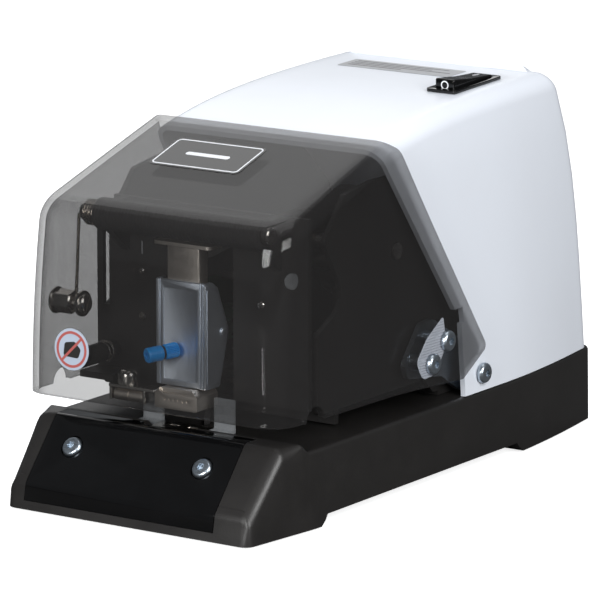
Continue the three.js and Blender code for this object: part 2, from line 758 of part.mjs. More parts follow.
const frameOutline = rounded(
  [
    [-84, 47],
    [-84, 84],
    [-60, 96],
    [-79, 125.5],
    [-62, 145],
    [-40, 148],
    [62, 147],
    [100, 112],
    [116, BASE.table + 2.5],
    [12, BASE.table + 2.5],
    [4, 47],
  ],
  [2, 3, 10, 3, 4, 4, 12, 12, 4, 3, 3],
);
bothSides.forEach((side) => {
  const [x0, x1] = side < 0 ? [-FRAME.x - FRAME.thick, -FRAME.x] : [FRAME.x, FRAME.x + FRAME.thick];
  const foot = side < 0 ? [-FRAME.x - FRAME.thick, -FRAME.x + 8] : [FRAME.x - 8, FRAME.x + FRAME.thick];
  const plate = join(
    sideways(frameOutline, x0, x1),
    block(foot[0], foot[1], 16, 120, BASE.table + GAP, BASE.table + 2.8),
  );
  const holes = [
    barX(LEVER.shaft + 0.3, -90, 90, LEVER.y, LEVER.z),
    barX(CRANK.shaft + 0.3, -90, 90, CRANK.y, CRANK.z),
  ];
  place(`side_frame_${sideName(side)}`, cut(plate, ...holes), darkSteel);
});

// The black front plate behind the head: a slot for the lever, and brackets for the tube.
const plateHalf = 58.6;
let frontPlate = block(-plateHalf, plateHalf, WALL_Y, WALL_Y + 2.5, 50, 124);
const bracketShape = [
  [WALL_Y + 1, 112],
  [WALL_Y + 1, 138],
  [TUBE.y - 2, TUBE.z + 5],
  [TUBE.y - 2, TUBE.z - 5],
];
const tubeRoom = barX(TUBE.r + GAP, -TUBE.half - 1, TUBE.half + 1, TUBE.y, TUBE.z, 24);
frontPlate = cut(
  join(
    frontPlate,
    sideways(bracketShape, -44, -40),
    sideways(bracketShape, 40, 44),
    block(-plateHalf, plateHalf, WALL_Y, WALL_Y + 2.5, 120, 138),
    block(-plateHalf, -40, WALL_Y - 14, WALL_Y + 1, 54, 57),
  ),
  tubeRoom,
  block(-17.5, 17.5, WALL_Y - 3, WALL_Y + 5, 40, 121),
  barY(3.4, WALL_Y - 3, WALL_Y + 5, DEPTH.x, DEPTH.z, 20),
  block(-55.4, -51.8, WALL_Y - 3, WALL_Y + 5, 86, 126),
  block(-62, -48.8, WALL_Y - 3, WALL_Y + 5, 124, 140),
);
place("front_plate", frontPlate, blackPaint);

const tube = turned(
  [
    [4.3, -TUBE.half],
    [TUBE.r, -TUBE.half],
    [TUBE.r, TUBE.half],
    [4.3, TUBE.half],
    [4.3, -TUBE.half],
  ],
  [0, TUBE.y, TUBE.z],
  [1, 0, 0],
  24,
);
place("cross_tube", tube, rubber);
place("cross_rod", barX(4, -TUBE.half - 9.5, TUBE.half + 4, TUBE.y, TUBE.z), nickel);

const coil = { r: 5.3, wire: 0.75, pitch: 1.55, turns: 3.5 };
const coilStart = -TUBE.half - 6.5;
place(
  "cover_spring",
  wire(new Helix([coilStart, TUBE.y, TUBE.z], coil.r, coil.pitch, coil.turns, "x"), coil.wire, 42, 6),
  nickel,
);
// The spring's leg runs down past the front of the post's neck.
const legTop = [coilStart - 1.7, TUBE.y - coil.r, TUBE.z];
const legAim = [0, standoff.y - 3.3 - legTop[1], standoff.z - TUBE.z];
place(
  "cover_spring_leg",
  turned([[0, 0], [coil.wire, 0], [coil.wire, 46], [0, 46]], legTop, legAim, 10),
  nickel,
);

// ---- Stapling head ------------------------------------------------

const headSide = [
  [HEAD.front, HEAD.foot],
  [HEAD.front, HEAD.top],
  [-101, HEAD.top],
  [-96.6, 103],
  [-87.8, 82],
  [-95.2, HEAD.foot],
];
const cassetteWall = 1.6;
let cassette = cut(
  sideways(headSide, -HEAD.half, HEAD.half),
  block(-HEAD.half + cassetteWall, HEAD.half - cassetteWall, HEAD.front + cassetteWall, -70, 50, 110),
);
// A shallow pressed panel between two upright ridges.
cassette = cut(
  cassette,
  block(-10, 9, HEAD.front - 1, HEAD.front + 0.6, HEAD.foot + 2, HEAD.top + 1),
  block(10.4, 11.4, HEAD.front - 1, HEAD.front + 0.6, HEAD.foot + 2, HEAD.top + 1),
);
cassette = join(cassette, barX(1.6, -HEAD.half - 0.8, -HEAD.half + 1, -93.5, 82, 16));
cassette = join(cassette, barX(1.6, HEAD.half - 1, HEAD.half + 0.8, -93.5, 82, 16));
place("staple_cassette", cassette, zinc);

// The staples stand in a strip behind the front panel, under the pusher.
const crown = (y) =>
  cut(block(-6, 6, y, y + 0.9, 59, 67.5), block(-5.1, 5.1, y - 1, y + 2, 58, 66.5));
const staples = Array.from({ length: 8 }, (_, k) => crown(HEAD.front + 2.2 + 0.88 * k));
place("staple_strip", join(...staples), zinc);

const noseShape = rounded(
  [
    [-HEAD.noseHalf, HEAD.noseFoot],
    [HEAD.noseHalf, HEAD.noseFoot],
    [HEAD.noseHalf, 54],
    [9.2, HEAD.foot - GAP],
    [-9.2, HEAD.foot - GAP],
    [-HEAD.noseHalf, 54],
  ],
  [1.2, 1.2, 1, 1, 1, 1],
);
place(
  "head_nose",
  cut(
    backward(noseShape, HEAD.noseFront, -94),
    block(-6.8, 6.8, ANVIL.groove - 0.9, ANVIL.groove + 0.9, 40, 60),
  ),
  nickel,
);

const ramHalf = 9;
const ramFront = -104.4;
let ram = join(
  block(-ramHalf, ramHalf, ramFront, -97.6, 92, 122),
  block(-16, 16, -106, -95.5, 121.5, 123.4),
  block(-5.6, 5.6, ramFront, ramFront + 0.9, 71.5, 93),
);
ram = cut(
  ram,
  block(-5.5, 5.5, ramFront + 1.6, -90, 104.5, 115.5),
  block(-ramHalf + 1.6, ramHalf - 1.6, ramFront + 1.6, -90, 80, 102),
);
place("ram", ram, nickel);

// The cassette's blue pull knob, on a stub that points forward and a little to the left.
const knobRear = [-1.2, HEAD.front - 1.5, 74.6];
const knobAim = [-7, -14.2, -1.3];
place(
  "cassette_knob",
  turned(
    [
      [0, 0],
      [3.1, 0],
      [3.4, 0.6],
      [3.4, 6.6],
      [2.7, 6.9],
      [2.7, 7.7],
      [3.5, 8],
      [3.5, 14.9],
      [3.1, 15.4],
      [1.3, 15.4],
      [1.3, 12],
      [0, 12],
    ],
    knobRear,
    knobAim,
  ),
  bluePlastic,
);

// A steel roller and its sprung post beside the nose press the paper flat.
place(
  "clamp_post",
  join(
    turned([[0, 0], [4.6, 0], [4.6, 4.5], [3.6, 6.6], [0, 7.2]], [-30, -106, 54.6], [0, 0, 1]),
    block(-38, -HEAD.noseHalf - 0.4, -110, -101.4, 53.2, 54.7),
    block(-38.4, -37, -109, -102, 47, 54.7),
    block(-19.6, -18.2, -109, -102, 47, 54.7),
    barX(1.4, -38, -19, -105.5, 49.5, 16),
  ),
  nickel,
);
place(
  "clamp_roller",
  turned(
    [
      [1.7, 0],
      [3, 0],
      [3, 8.3],
      [2.7, 8.6],
      [3, 8.9],
      [3, 16.4],
      [1.7, 16.4],
      [1.7, 0],
    ],
    [-36.6, -105.5, 49.5],
    [1, 0, 0],
  ),
  nickel,
);

// ---- Depth adjuster ------------------------------------------------

// A black knob on a long rod moves the paper stop along the throat.
const depthScrew = turned(
  [
    [0, 0],
    [3.9, 0],
    [4.6, 0.8],
    [4.6, 17],
    [3.4, 17.6],
    [3.4, 19],
    [5.2, 19.2],
    [5.2, 20.6],
    [3, 20.8],
    [3, 24],
    [3, 105],
    [0, 105],
  ],
  [DEPTH.x, -117, DEPTH.z],
  [0, 1, 0],
);
place("depth_screw", depthScrew, blackPaint);
const stopY = -62;
const paperStop = cut(
  join(
    block(-54, 54, stopY, stopY + 3, BASE.table + 1, 47.5),
    block(-54, -43, stopY, stopY + 3, 46, 73),
    barY(6, stopY, stopY + 9, DEPTH.x, DEPTH.z),
  ),
  barY(3.3, stopY - 5, stopY + 20, DEPTH.x, DEPTH.z, 24),
  block(-20, 20, stopY - 1, stopY + 4, 44.5, 60),
);
place("paper_stop", paperStop, blackPaint);

// ---- Drive ------------------------------------------------

// The rocking lever: its fork lifts on the eccentric and its nose pushes the ram down.
const leverTip = { y: -101.8, z: 110 };
const leverOutline = rounded(
  [
    [leverTip.y, leverTip.z - 4.4],
    [leverTip.y + 16, leverTip.z - 4.4],
    [LEVER.y - 14, LEVER.z - 9],
    [LEVER.y + 12, LEVER.z - 10],
    [CRANK.y - 8, CRANK.z + ECCENTRIC.r - ECCENTRIC.throw + 1.2],
    [CRANK.y + 12, CRANK.z + ECCENTRIC.r - ECCENTRIC.throw + 1.2],
    [CRANK.y + 12, CRANK.z + ECCENTRIC.r - ECCENTRIC.throw + 10],
    [LEVER.y + 12, LEVER.z + 11],
    [LEVER.y - 14, LEVER.z + 10],
    [leverTip.y + 16, leverTip.z + 4.4],
    [leverTip.y, leverTip.z + 4.4],
  ],
  [3, 0, 12, 8, 0, 2, 3, 10, 10, 0, 3],
);
const leverSolid = cut(
  join(
    sideways(leverOutline, -4, 4),
    barX(9, -14, 14, LEVER.y, LEVER.z),
    block(3, 17, -78, -66, 103, 106),
  ),
  barX(LEVER.shaft + 0.3, -90, 90, LEVER.y, LEVER.z),
);
place("drive_lever", leverSolid, darkSteel);
place("lever_shaft", barX(LEVER.shaft, -60.5, 60.5, LEVER.y, LEVER.z), nickel);

// A spur gear outline with straight-sided teeth. phase turns it, in tooth pitches.
function gearOutline(teeth, phase) {
  const pitchR = (GEAR.module * teeth) / 2;
  const step = (2 * PI) / teeth;
  const tip = pitchR + 0.85 * GEAR.module;
  const root = pitchR - 1.15 * GEAR.module;
  const points = [];
  for (let k = 0; k < teeth; k++) {
    const a = step * (k + phase);
    for (const [r, share] of [[root, -0.3], [tip, -0.11], [tip, 0.11], [root, 0.3]])
      points.push([r * cos(a + share * step), r * sin(a + share * step)]);
  }
  return points;
}
const centreDistance = (GEAR.module * (GEAR.teeth + GEAR.pinionTeeth)) / 2 + 0.2;
const motorAt = { y: CRANK.y + centreDistance, z: CRANK.z };
const at = (points, y, z) => points.map(([u, v]) => [y + u, z + v]);
const lightening = [0, 1, 2, 3, 4].map((k) => {
  const a = (2 * PI * k) / 5;
  return barX(7, 20, 60, CRANK.y + 22 * cos(a), CRANK.z + 22 * sin(a), 12);
});
const bigGear = cut(
  join(
    sideways(at(gearOutline(GEAR.teeth, 0), CRANK.y, CRANK.z), GEAR.x, GEAR.x + GEAR.width),
    barX(10, GEAR.x - 5, GEAR.x + GEAR.width + 5, CRANK.y, CRANK.z),
  ),
  ...lightening,
  barX(CRANK.shaft + 0.3, 0, 80, CRANK.y, CRANK.z),
);
place("drive_gear", bigGear, nickel);
const eccentric = cut(
  barX(ECCENTRIC.r, -ECCENTRIC.half, ECCENTRIC.half, CRANK.y, CRANK.z - ECCENTRIC.throw, 32),
  barX(CRANK.shaft + 0.3, -80, 80, CRANK.y, CRANK.z),
);
place("eccentric", eccentric, darkSteel);
place("crankshaft", barX(CRANK.shaft, -62, 62, CRANK.y, CRANK.z), nickel);

const motor = join(
  barX(MOTOR.r, MOTOR.x0, MOTOR.x1, motorAt.y, motorAt.z, 28),
  barX(9, MOTOR.x1, MOTOR.x1 + 4, motorAt.y, motorAt.z),
  block(MOTOR.x0 + 8, MOTOR.x1 - 8, motorAt.y - 20, motorAt.y + 20, BASE.table + GAP, motorAt.z - 20),
);
place("motor", cut(motor, barX(3.4, -80, 80, motorAt.y, motorAt.z)), darkSteel);
const pinion = join(
  sideways(
    at(gearOutline(GEAR.pinionTeeth, GEAR.pinionTeeth / 2 + 0.5), motorAt.y, motorAt.z),
    GEAR.x - 0.5,
    GEAR.x + GEAR.width + 0.5,
  ),
  barX(3, MOTOR.x0 - 6, GEAR.x + 1, motorAt.y, motorAt.z),
);
place("motor_shaft", pinion, nickel);

// The spring that lifts the lever's nose again after each staple.
const springX = 11;
place(
  "return_spring",
  wire(new Helix([springX, -72, 60], 5, 6.4, 6.5, "z"), 0.8, 58, 6),
  nickel,
);
place(
  "spring_bracket",
  cut(
    join(block(-FRAME.x + GAP, FRAME.x - GAP, -79, -65, 54.5, 57), barZ(3.4, 57, 64, springX, -72)),
    block(-56.8, -40, -80, -64, 50, 60),
  ),
  darkSteel,
);

// The control board stands inside the housing's left wall.
place(
  "control_board",
  join(
    block(-53.5, -51.8, -10, 26, 52, 104),
    block(-52, -44, -4, 12, 86, 98),
    block(-52, -46, 10, 22, 58, 72),
    barX(5, -52, -40, 2, 66),
  ),
  boardGreen,
);

export default object;
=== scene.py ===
# %% [markdown]
# # An electric office stapler
#
# This lesson dresses a finished mechanical model of an electric stapler. The moving frame is already
# there: every solid of the machine, each on the body it moves with. The work here is looks. Visible
# solids are modelled again with finer shapes, and everything gets a finish made from nodes. Lengths
# are written in millimetres and turned into metres when a mesh is made, because the sizes of small
# machines are easier to read that way.

# %% Load the frame
import json
import math

import bmesh
import bpy
from mathutils import Matrix, Vector


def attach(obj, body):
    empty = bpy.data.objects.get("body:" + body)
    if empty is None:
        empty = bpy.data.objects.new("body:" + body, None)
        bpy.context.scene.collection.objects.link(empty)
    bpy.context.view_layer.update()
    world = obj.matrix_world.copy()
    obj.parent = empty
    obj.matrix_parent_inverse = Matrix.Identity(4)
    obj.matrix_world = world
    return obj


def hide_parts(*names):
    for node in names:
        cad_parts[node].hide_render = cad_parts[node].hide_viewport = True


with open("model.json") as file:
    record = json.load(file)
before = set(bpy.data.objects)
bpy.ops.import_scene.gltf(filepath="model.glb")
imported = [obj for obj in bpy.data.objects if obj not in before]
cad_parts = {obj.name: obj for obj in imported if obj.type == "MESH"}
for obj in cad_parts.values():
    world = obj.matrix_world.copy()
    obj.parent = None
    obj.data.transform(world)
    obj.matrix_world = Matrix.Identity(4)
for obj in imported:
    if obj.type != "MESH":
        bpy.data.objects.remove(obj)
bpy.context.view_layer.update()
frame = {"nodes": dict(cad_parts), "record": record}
nodes = frame["nodes"]
MM = 0.001
print("solids in the frame:", len(nodes))


# %% [markdown]
# ## The camera and the light
#
# A product picture is taken from far away with a long lens, so upright edges stay nearly parallel.
# The camera stands 2.4 m off, a little above the machine. The room is a white tent: a white world
# fills every shadow, and a few large soft lights make the long clean reflections that glossy plastic
# needs.

# %% Camera
def camera_at(azimuth, elevation, distance, target, lens):
    """Azimuth 0 looks along +Y; the camera then goes round towards +X."""
    a, e = math.radians(azimuth), math.radians(elevation)
    away = Vector((math.sin(a) * math.cos(e), -math.cos(a) * math.cos(e), math.sin(e)))
    data = bpy.data.cameras.new("camera")
    data.lens, data.sensor_width, data.clip_end = lens, 36, 20
    camera = bpy.data.objects.new("camera", data)
    bpy.context.scene.collection.objects.link(camera)
    camera.location = Vector(target) + away * distance
    camera.rotation_euler = away.to_track_quat("Z", "Y").to_euler()
    return camera


bpy.context.scene.camera = camera_at(34.19, 12.19, 2.4, (0, -0.01058, 0.08019), 308.7)


# %% [markdown]
# ## The white room
#
# Five soft boxes light the machine. The world is dim for every ray that lights it, and white only for
# the rays that come straight from the camera, so gloss stays deep against a white background.
# %% Lights, floor and white room
def softbox(name, place, aim, size, power, color=(1, 1, 1)):
    """An area light that faces the point it aims at."""
    data = bpy.data.lights.new(name, "AREA")
    data.shape, data.size, data.size_y = "RECTANGLE", size[0], size[1]
    data.energy, data.color = power, color
    light = bpy.data.objects.new(name, data)
    bpy.context.scene.collection.objects.link(light)
    light.location = place
    light.rotation_euler = (Vector(place) - Vector(aim)).to_track_quat("Z", "Y").to_euler()
    return light


middle = (0, 0, 0.09)
softbox("sky_box", (-0.78, 0.70, 1.02), middle, (1.25, 1.25), 6.6)
softbox("top_box", (0.05, 0.15, 1.5), middle, (0.9, 0.9), 3.6)
softbox("right_box", (1.3, -0.5, 0.8), middle, (0.8, 0.9), 22)
softbox("front_box", (0.12, -1.35, 0.45), middle, (0.6, 0.5), 15)
corner_card = softbox("corner_card", (0.11, -0.62, 0.012), (0.11, -0.62, 1), (0.035, 0.4), 0.4)
corner_card.visible_camera = False


def white_room(light, shown):
    """A world that lights the machine with one strength and shows itself to the camera with another."""
    world = bpy.data.worlds.new("white_room")
    world.use_nodes = True
    tree = world.node_tree
    dim = tree.nodes["Background"]
    dim.inputs["Color"].default_value = (0.92, 0.955, 1, 1)
    dim.inputs["Strength"].default_value = light
    bright = tree.nodes.new("ShaderNodeBackground")
    bright.inputs["Color"].default_value = (1, 1, 1, 1)
    bright.inputs["Strength"].default_value = shown
    path, mix = tree.nodes.new("ShaderNodeLightPath"), tree.nodes.new("ShaderNodeMixShader")
    tree.links.new(path.outputs["Is Camera Ray"], mix.inputs[0])
    tree.links.new(dim.outputs[0], mix.inputs[1])
    tree.links.new(bright.outputs[0], mix.inputs[2])
    tree.links.new(mix.outputs[0], tree.nodes["World Output"].inputs["Surface"])
    return world


bpy.context.scene.world = white_room(0.14, 1.05)
bpy.context.scene.view_settings.view_transform = "Standard"

# %% [markdown]
# ## Tools for making finishes
#
# Real surfaces are never one flat value. Moulded plastic has a fine grain, paint has a faint orange
# peel, and everything that is handled has patches that are a little duller or brighter. Three small
# node groups make those effects. Each is built once and then placed in every material that needs it,
# with that material's own numbers.

# %% Node group helpers
def new_group(name, inputs, outputs):
    """An empty shader group with named sockets. Returns the group and its input and output nodes."""
    group = bpy.data.node_groups.new(name, "ShaderNodeTree")
    for title, kind, value in inputs:
        socket = group.interface.new_socket(title, in_out="INPUT", socket_type="NodeSocket" + kind)
        if value is not None:
            socket.default_value = value
    for title, kind in outputs:
        group.interface.new_socket(title, in_out="OUTPUT", socket_type="NodeSocket" + kind)
    return group, group.nodes.new("NodeGroupInput"), group.nodes.new("NodeGroupOutput")


def add_node(tree, kind, **settings):
    """A shader node, with its own settings."""
    node = tree.nodes.new("ShaderNode" + kind)
    for key, value in settings.items():
        setattr(node, key, value)
    return node


def spread(tree, source, low, high, from_low=0.3, from_high=0.7):
    """A Map Range node that turns a noise value into the range that is wanted."""
    node = add_node(tree, "MapRange")
    tree.links.new(source, node.inputs["Value"])
    node.inputs["From Min"].default_value = from_low
    node.inputs["From Max"].default_value = from_high
    for title, value in (("To Min", low), ("To Max", high)):
        if hasattr(value, "is_linked"):
            tree.links.new(value, node.inputs[title])
        else:
            node.inputs[title].default_value = value
    return node.outputs["Result"]


# %% [markdown]
# ### Handled surfaces
#
# Slow noise makes patches. The same patches change the colour a little and the gloss a little.
# %% Group: handled_surface
def make_handled_surface():
    """Slow patches of tone and gloss, as on anything that has been wiped and touched."""
    group, given, out = new_group(
        "handled_surface",
        [("Vector", "Vector", None), ("Color", "Color", (0.5, 0.5, 0.5, 1)), ("Worn Color", "Color", (0.4, 0.4, 0.4, 1)),
         ("Patch Scale", "Float", 30.0), ("Amount", "Float", 0.2),
         ("Roughness", "Float", 0.4), ("Duller", "Float", 0.5)],
        [("Color", "Color"), ("Roughness", "Float")],
    )
    patches = add_node(group, "TexNoise")
    patches.inputs["Detail"].default_value = 5
    patches.inputs["Roughness"].default_value = 0.62
    group.links.new(given.outputs["Vector"], patches.inputs["Vector"])
    group.links.new(given.outputs["Patch Scale"], patches.inputs["Scale"])
    share = spread(group, patches.outputs["Fac"], 0.0, given.outputs["Amount"], 0.42, 0.72)
    mix = add_node(group, "Mix", data_type="RGBA")
    group.links.new(share, mix.inputs[0])
    group.links.new(given.outputs["Color"], mix.inputs[6])
    group.links.new(given.outputs["Worn Color"], mix.inputs[7])
    group.links.new(mix.outputs[2], out.inputs["Color"])
    dull = spread(group, patches.outputs["Fac"], given.outputs["Roughness"], given.outputs["Duller"], 0.35, 0.7)
    group.links.new(dull, out.inputs["Roughness"])
    return group


handled_surface = make_handled_surface()


# %% [markdown]
# ### Fine grain
#
# Smooth cells mixed with finer noise give a height for moulded or sprayed skins.
# %% Group: fine_grain
def make_fine_grain():
    """The height of a moulded or sprayed skin: rounded bumps with smaller ones between them."""
    group, given, out = new_group(
        "fine_grain",
        [("Vector", "Vector", None), ("Bumps Per Metre", "Float", 900.0), ("Sharpness", "Float", 0.5)],
        [("Height", "Float")],
    )
    cells = add_node(group, "TexVoronoi", feature="SMOOTH_F1")
    cells.inputs["Smoothness"].default_value = 0.6
    skin = add_node(group, "TexNoise")
    skin.inputs["Detail"].default_value = 4
    for node in (cells, skin):
        group.links.new(given.outputs["Vector"], node.inputs["Vector"])
        group.links.new(given.outputs["Bumps Per Metre"], node.inputs["Scale"])
    mix = add_node(group, "Mix", data_type="FLOAT")
    group.links.new(given.outputs["Sharpness"], mix.inputs[0])
    group.links.new(skin.outputs["Fac"], mix.inputs[2])
    group.links.new(cells.outputs["Distance"], mix.inputs[3])
    group.links.new(mix.outputs[0], out.inputs["Height"])
    return group


fine_grain = make_fine_grain()


# %% [markdown]
# ### Drawn lines
#
# Noise that is stretched along one direction looks like the lines that rolling and brushing leave.
# %% Group: drawn_lines
def make_drawn_lines():
    """Fine scratches along one direction, as rolling, drawing or brushing leaves on metal."""
    group, given, out = new_group(
        "drawn_lines",
        [("Vector", "Vector", None), ("Stretch", "Vector", (1, 12, 12)), ("Lines Per Metre", "Float", 400.0),
         ("Roughness", "Float", 0.3), ("Rougher", "Float", 0.45)],
        [("Roughness", "Float"), ("Height", "Float")],
    )
    stretched = add_node(group, "VectorMath", operation="MULTIPLY")
    group.links.new(given.outputs["Vector"], stretched.inputs[0])
    group.links.new(given.outputs["Stretch"], stretched.inputs[1])
    lines = add_node(group, "TexNoise")
    lines.inputs["Detail"].default_value = 6
    group.links.new(stretched.outputs[0], lines.inputs["Vector"])
    group.links.new(given.outputs["Lines Per Metre"], lines.inputs["Scale"])
    rough = spread(group, lines.outputs["Fac"], given.outputs["Roughness"], given.outputs["Rougher"])
    group.links.new(rough, out.inputs["Roughness"])
    group.links.new(lines.outputs["Fac"], out.inputs["Height"])
    return group


drawn_lines = make_drawn_lines()
print("node groups:", [g.name for g in bpy.data.node_groups])


# %% [markdown]
# ## The finishes
#
# Plastic and paint share one recipe: patches from `handled_surface` for colour and gloss, and
# `fine_grain` for the bump. Metals use `drawn_lines` instead. Values that don't change over a
# surface, such as the coat, are set on the shader itself.

# %% Plastic and paint
def surface_vector(tree):
    return add_node(tree, "TexCoord").outputs["Object"]


def put_group(tree, group, **values):
    node = tree.nodes.new("ShaderNodeGroup")
    node.node_tree = group
    for title, value in values.items():
        node.inputs[title.replace("_", " ")].default_value = value
    return node


def bump_from(tree, height, distance, shader, strength=1.0):
    bump = add_node(tree, "Bump")
    bump.inputs["Distance"].default_value = distance
    bump.inputs["Strength"].default_value = strength
    tree.links.new(height, bump.inputs["Height"])
    tree.links.new(bump.outputs["Normal"], shader.inputs["Normal"])
    return bump


def skin_finish(name, color, worn, roughness, duller, patches=30.0, amount=0.25, grain=900.0, depth=0.00003,
                sharpness=0.5, coat=0.0, coat_roughness=0.05):
    """A moulded or painted skin."""
    material = bpy.data.materials.new(name)
    material.use_nodes = True
    tree = material.node_tree
    shader = tree.nodes["Principled BSDF"]
    vector = surface_vector(tree)
    hand = put_group(tree, handled_surface, Color=(*color, 1), Worn_Color=(*worn, 1), Patch_Scale=patches,
                     Amount=amount, Roughness=roughness, Duller=duller)
    tree.links.new(vector, hand.inputs["Vector"])
    tree.links.new(hand.outputs["Color"], shader.inputs["Base Color"])
    tree.links.new(hand.outputs["Roughness"], shader.inputs["Roughness"])
    skin = put_group(tree, fine_grain, Bumps_Per_Metre=grain, Sharpness=sharpness)
    tree.links.new(vector, skin.inputs["Vector"])
    bump_from(tree, skin.outputs["Height"], depth, shader)
    shader.inputs["Coat Weight"].default_value = coat
    shader.inputs["Coat Roughness"].default_value = coat_roughness
    return material


white_paint = skin_finish("white_paint", (0.80, 0.84, 0.91), (0.76, 0.79, 0.85), 0.34, 0.42, patches=14, amount=0.35,
                          grain=700, depth=0.000015, coat=0.15, coat_roughness=0.25)
satin_black = skin_finish("satin_black", (0.013, 0.012, 0.0115), (0.019, 0.0175, 0.0165), 0.36, 0.46, patches=35,
                          amount=0.5, grain=1600, depth=0.00004, sharpness=0.7)
gloss_black = skin_finish("gloss_black", (0.002, 0.002, 0.0022), (0.004, 0.004, 0.0045), 0.05, 0.11, patches=50,
                          amount=0.4, grain=260, depth=0.000006)
wall_black = skin_finish("wall_black", (0.015, 0.014, 0.0135), (0.022, 0.0205, 0.019), 0.42, 0.55, patches=40,
                         amount=0.6, grain=2600, depth=0.000005)
sleeve_rubber = skin_finish("sleeve_rubber", (0.014, 0.013, 0.013), (0.03, 0.028, 0.027), 0.6, 0.8, patches=80,
                            amount=0.6, grain=2200, depth=0.00001)
knob_blue = skin_finish("knob_blue", (0.004, 0.36, 0.95), (0.003, 0.28, 0.80), 0.26, 0.38, patches=160, amount=0.4,
                        grain=3000, depth=0.00001)
board_green = skin_finish("board_green", (0.02, 0.10, 0.045), (0.03, 0.13, 0.06), 0.35, 0.5, patches=120, amount=0.5,
                          grain=1500, depth=0.00002)
plate_grey = skin_finish("plate_grey", (0.36, 0.37, 0.39), (0.42, 0.43, 0.45), 0.32, 0.42, patches=60, amount=0.5,
                         grain=2500, depth=0.00001)
grip_grey = skin_finish("grip_grey", (0.30, 0.32, 0.36), (0.36, 0.38, 0.42), 0.3, 0.42, patches=120, amount=0.4,
                        grain=2500, depth=0.00001)
print_white = skin_finish("print_white", (0.78, 0.80, 0.84), (0.70, 0.72, 0.75), 0.4, 0.5, patches=200, amount=0.3,
                          grain=4000, depth=0.000005)
print_red = skin_finish("print_red", (0.42, 0.10, 0.09), (0.36, 0.09, 0.08), 0.4, 0.5, patches=200, amount=0.3,
                        grain=4000, depth=0.000005)
sticker_blue = skin_finish("sticker_blue", (0.42, 0.48, 0.58), (0.46, 0.52, 0.61), 0.35, 0.45, patches=120,
                           amount=0.4, grain=4000, depth=0.000005)


# %% [markdown]
# ### Metals
#
# Metals share the patches, and take their gloss and height from the drawn lines.
# %% Metals
def metal_finish(name, color, worn, roughness, rougher, stretch=(1, 12, 12), lines=400.0, depth=0.000001):
    """Plated or rolled metal with lines along one direction."""
    material = bpy.data.materials.new(name)
    material.use_nodes = True
    tree = material.node_tree
    shader = tree.nodes["Principled BSDF"]
    vector = surface_vector(tree)
    hand = put_group(tree, handled_surface, Color=(*color, 1), Worn_Color=(*worn, 1), Patch_Scale=90.0, Amount=0.7,
                     Roughness=roughness, Duller=rougher)
    tree.links.new(vector, hand.inputs["Vector"])
    tree.links.new(hand.outputs["Color"], shader.inputs["Base Color"])
    drawn = put_group(tree, drawn_lines, Stretch=stretch, Lines_Per_Metre=lines, Roughness=roughness, Rougher=rougher)
    tree.links.new(vector, drawn.inputs["Vector"])
    tree.links.new(drawn.outputs["Roughness"], shader.inputs["Roughness"])
    bump_from(tree, drawn.outputs["Height"], depth, shader)
    shader.inputs["Metallic"].default_value = 1.0
    return material


zinc_plate = metal_finish("zinc_plate", (0.50, 0.56, 0.62), (0.40, 0.45, 0.50), 0.24, 0.38)
cassette_zinc = metal_finish("cassette_zinc", (0.78, 0.84, 0.92), (0.70, 0.76, 0.84), 0.40, 0.50, (6, 6, 1), 300)
warm_nickel = metal_finish("warm_nickel", (0.88, 0.81, 0.73), (0.78, 0.71, 0.63), 0.34, 0.44, (6, 6, 1), 250)
bright_nickel = metal_finish("bright_nickel", (0.66, 0.63, 0.59), (0.55, 0.51, 0.46), 0.12, 0.24, (2, 6, 6), 500)
spring_wire = metal_finish("spring_wire", (0.50, 0.45, 0.39), (0.36, 0.32, 0.28), 0.16, 0.30, (3, 9, 3), 500)
dark_oxide = metal_finish("dark_oxide", (0.10, 0.092, 0.085), (0.16, 0.145, 0.13), 0.32, 0.5, (4, 10, 3), 300)


# %% [markdown]
# ## Smoked and clear plastic
#
# The cover is a clear moulding with a grey-brown tint. A thin clear shell can be made with
# refraction, but then light only gets inside through bent rays, and the machine behind it turns dark
# and noisy. An alpha mix lets light straight through instead, and the gloss still comes from the
# shader's own reflection. Each wall has an outer and an inner skin, so each skin takes only part of
# the tint. The tint is deeper where the wall is seen edge-on, which a Layer Weight node gives.

# %% Clear finishes
def clear_finish(name, color, alpha, edge_alpha, roughness):
    material = bpy.data.materials.new(name)
    material.use_nodes = True
    tree = material.node_tree
    shader = tree.nodes["Principled BSDF"]
    vector = surface_vector(tree)
    hand = put_group(tree, handled_surface, Color=(*color, 1), Worn_Color=(*[c * 1.25 for c in color], 1),
                     Patch_Scale=22.0, Amount=0.4, Roughness=roughness, Duller=roughness * 2.2)
    tree.links.new(vector, hand.inputs["Vector"])
    tree.links.new(hand.outputs["Color"], shader.inputs["Base Color"])
    tree.links.new(hand.outputs["Roughness"], shader.inputs["Roughness"])
    wave = put_group(tree, fine_grain, Bumps_Per_Metre=45.0, Sharpness=0.2)
    tree.links.new(vector, wave.inputs["Vector"])
    bump_from(tree, wave.outputs["Height"], 0.00006, shader)
    facing = add_node(tree, "LayerWeight")
    facing.inputs["Blend"].default_value = 0.35
    tree.links.new(spread(tree, facing.outputs["Facing"], alpha, edge_alpha, 0.0, 0.9), shader.inputs["Alpha"])
    return material


smoked_clear = clear_finish("smoked_clear", (0.022, 0.021, 0.021), 0.30, 0.66, 0.03)
water_clear = clear_finish("water_clear", (0.62, 0.65, 0.68), 0.14, 0.45, 0.05)
print("finishes:", len(bpy.data.materials))

# %% [markdown]
# ## Tools for making pieces
#
# Most of the shells here are drawn up from a plan. A row of points goes from the middle of the rear
# wall round one side to the middle of the front wall. Extruding that row gives the next height, and
# so on up to the roof. The last row is pulled in to the centre line, and a mirror makes the other
# half. Extrude keeps the rows joined, so no list of faces has to be worked out.

